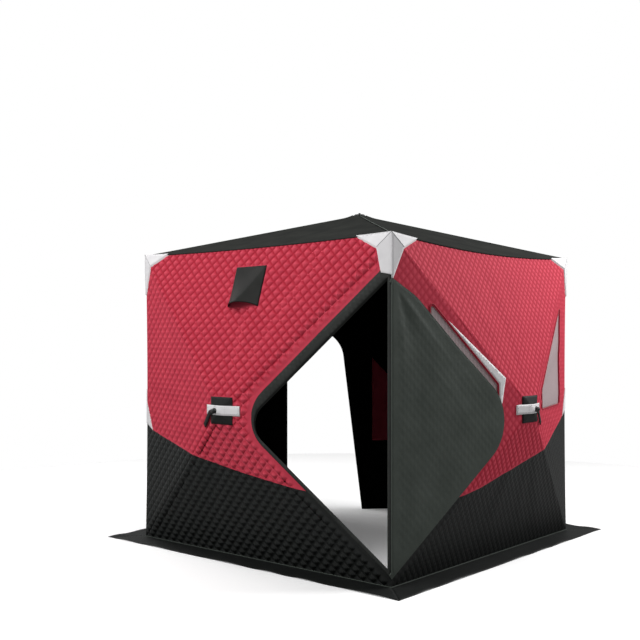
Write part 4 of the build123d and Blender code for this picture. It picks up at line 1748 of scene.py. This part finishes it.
# Each lamp's azimuth, its elevation and the level it gives a white surface that faces it
LAMPS = {
    "key_lamp": (-94, 44, 0.53),
    "side_lamp": (42, 45, 0.86),
    "back_lamp": (-175, 45, 0.3),
    "left_lamp": (-160, 18, 0.05),
}
LAMP_AWAY = 5.5
LAMP_SIZE = 2.5
SKY_LEVEL = 0.3
FLOOR_REACH = 4.2
FLOOR_GLOW = 0.14


def seen_directly(tree):
    """1 for rays from the camera, also through glass or mesh, and 0 for those that carry light."""
    path = link_node(tree, "ShaderNodeLightPath")
    direct, through = path.outputs["Is Camera Ray"], path.outputs["Is Transmission Ray"]
    return link_node(tree, "ShaderNodeMath", links={0: direct, 1: through}, operation="MAXIMUM").outputs[0]


def floor_paper():
    """White paper that keeps its shadows, glows a little and throws less light back than it shows."""
    material, tree, shader = started("floor paper", 0.9, 0.0)
    seen = seen_directly(tree)
    colour = link_node(
        tree, "ShaderNodeMix", {6: linear("#9E9E9E"), 7: linear("#F5F5F5")}, {0: seen}, data_type="RGBA"
    )
    glow = link_node(tree, "ShaderNodeMath", {1: FLOOR_GLOW}, {0: seen}, operation="MULTIPLY")
    tree.links.new(colour.outputs[2], shader.inputs["Base Color"])
    tree.links.new(glow.outputs[0], shader.inputs["Emission Strength"])
    shader.inputs["Emission Color"].default_value = (1, 1, 1, 1)
    return material


class SHELTER_OT_stage(Operator):
    """Set the camera, the lamps, the floor and the white surroundings"""

    bl_idname = "shelter.stage"
    bl_label = "Stage"

    def execute(self, context):
        scene = context.scene
        data = bpy.data.cameras.new("camera")
        data.lens = CAMERA_LENS
        data.sensor_width = 36
        data.shift_y = CAMERA_SHIFT
        camera = bpy.data.objects.new("camera", data)
        camera.location = CAMERA_AT
        camera.rotation_euler = (math.pi / 2, 0, CAMERA_TURN)
        scene.collection.objects.link(camera)
        scene.camera = camera
        for name, (azimuth, elevation, level) in LAMPS.items():
            self.lamp(scene, name, math.radians(azimuth), math.radians(elevation), level)
        self.floor()
        self.surroundings(scene)
        scene.view_settings.view_transform = "Standard"
        return {"FINISHED"}

    def lamp(self, scene, name, azimuth, elevation, level):
        light = bpy.data.lights.new(name, "AREA")
        light.size = LAMP_SIZE
        light.energy = level * (math.pi * LAMP_AWAY) ** 2
        lamp = bpy.data.objects.new(name, light)
        level_reach = LAMP_AWAY * math.cos(elevation)
        lamp.location = (
            level_reach * math.cos(azimuth),
            level_reach * math.sin(azimuth),
            LAMP_AWAY * math.sin(elevation),
        )
        aim = Vector((0, 0, HUB_HEIGHT)) - lamp.location
        lamp.rotation_euler = aim.to_track_quat("-Z", "Y").to_euler()
        scene.collection.objects.link(lamp)

    def floor(self):
        turns = np.linspace(0, 2 * math.pi, 96, endpoint=False)
        points = [(FLOOR_REACH * math.cos(turn), FLOOR_REACH * math.sin(turn), 0) for turn in turns]
        mesh = bpy.data.meshes.new("floor")
        mesh.from_pydata(points, [], [range(len(points))])
        show("floor", mesh, floor_paper())

    def surroundings(self, scene):
        world = bpy.data.worlds.new("white surroundings")
        scene.world = world
        world.use_nodes = True
        tree = world.node_tree
        tree.nodes.clear()
        strength = link_node(
            tree, "ShaderNodeMapRange", {"To Min": SKY_LEVEL, "To Max": 1.0}, {"Value": seen_directly(tree)}
        )
        background = link_node(
            tree, "ShaderNodeBackground", {"Color": (1, 1, 1, 1)}, {"Strength": strength.outputs[0]}
        )
        output = link_node(tree, "ShaderNodeOutputWorld")
        tree.links.new(background.outputs[0], output.inputs["Surface"])


PIECE_MAKERS = (
    SHELTER_OT_stage,
    SHELTER_OT_walls,
    SHELTER_OT_linings,
    SHELTER_OT_door_wall,
    SHELTER_OT_roof,
    SHELTER_OT_windows,
    SHELTER_OT_patches,
    SHELTER_OT_hubs,
    SHELTER_OT_vent_hood,
    SHELTER_OT_front_door,
    SHELTER_OT_rear_door,
    SHELTER_OT_skirts,
    SHELTER_OT_seams,
    SHELTER_OT_frame_finish,
)


class SHELTER_PT_panel(Panel):
    """Sizes, colours and makers of the shelter"""

    bl_label = "Pop-up Ice Shelter"
    bl_space_type = "VIEW_3D"
    bl_region_type = "UI"
    bl_category = "Shelter"

    def draw(self, context):
        for group in (context.scene.shelter_sizes, context.scene.shelter_colours):
            for name in group.__annotations__:
                self.layout.prop(group, name)
        for maker in PIECE_MAKERS:
            self.layout.operator(maker.bl_idname)


CLASSES = (ShelterSizes, ShelterColours) + PIECE_MAKERS + (SHELTER_PT_panel,)


def register():
    for cls in CLASSES:
        bpy.utils.register_class(cls)
    bpy.types.Scene.shelter_sizes = PointerProperty(type=ShelterSizes)
    bpy.types.Scene.shelter_colours = PointerProperty(type=ShelterColours)


def unregister():
    del bpy.types.Scene.shelter_colours
    del bpy.types.Scene.shelter_sizes
    for cls in reversed(CLASSES):
        bpy.utils.unregister_class(cls)


def main():
    register()
    for maker in PIECE_MAKERS:
        group, name = maker.bl_idname.split(".")
        getattr(getattr(bpy.ops, group), name)()


if __name__ == "__main__":
    main()
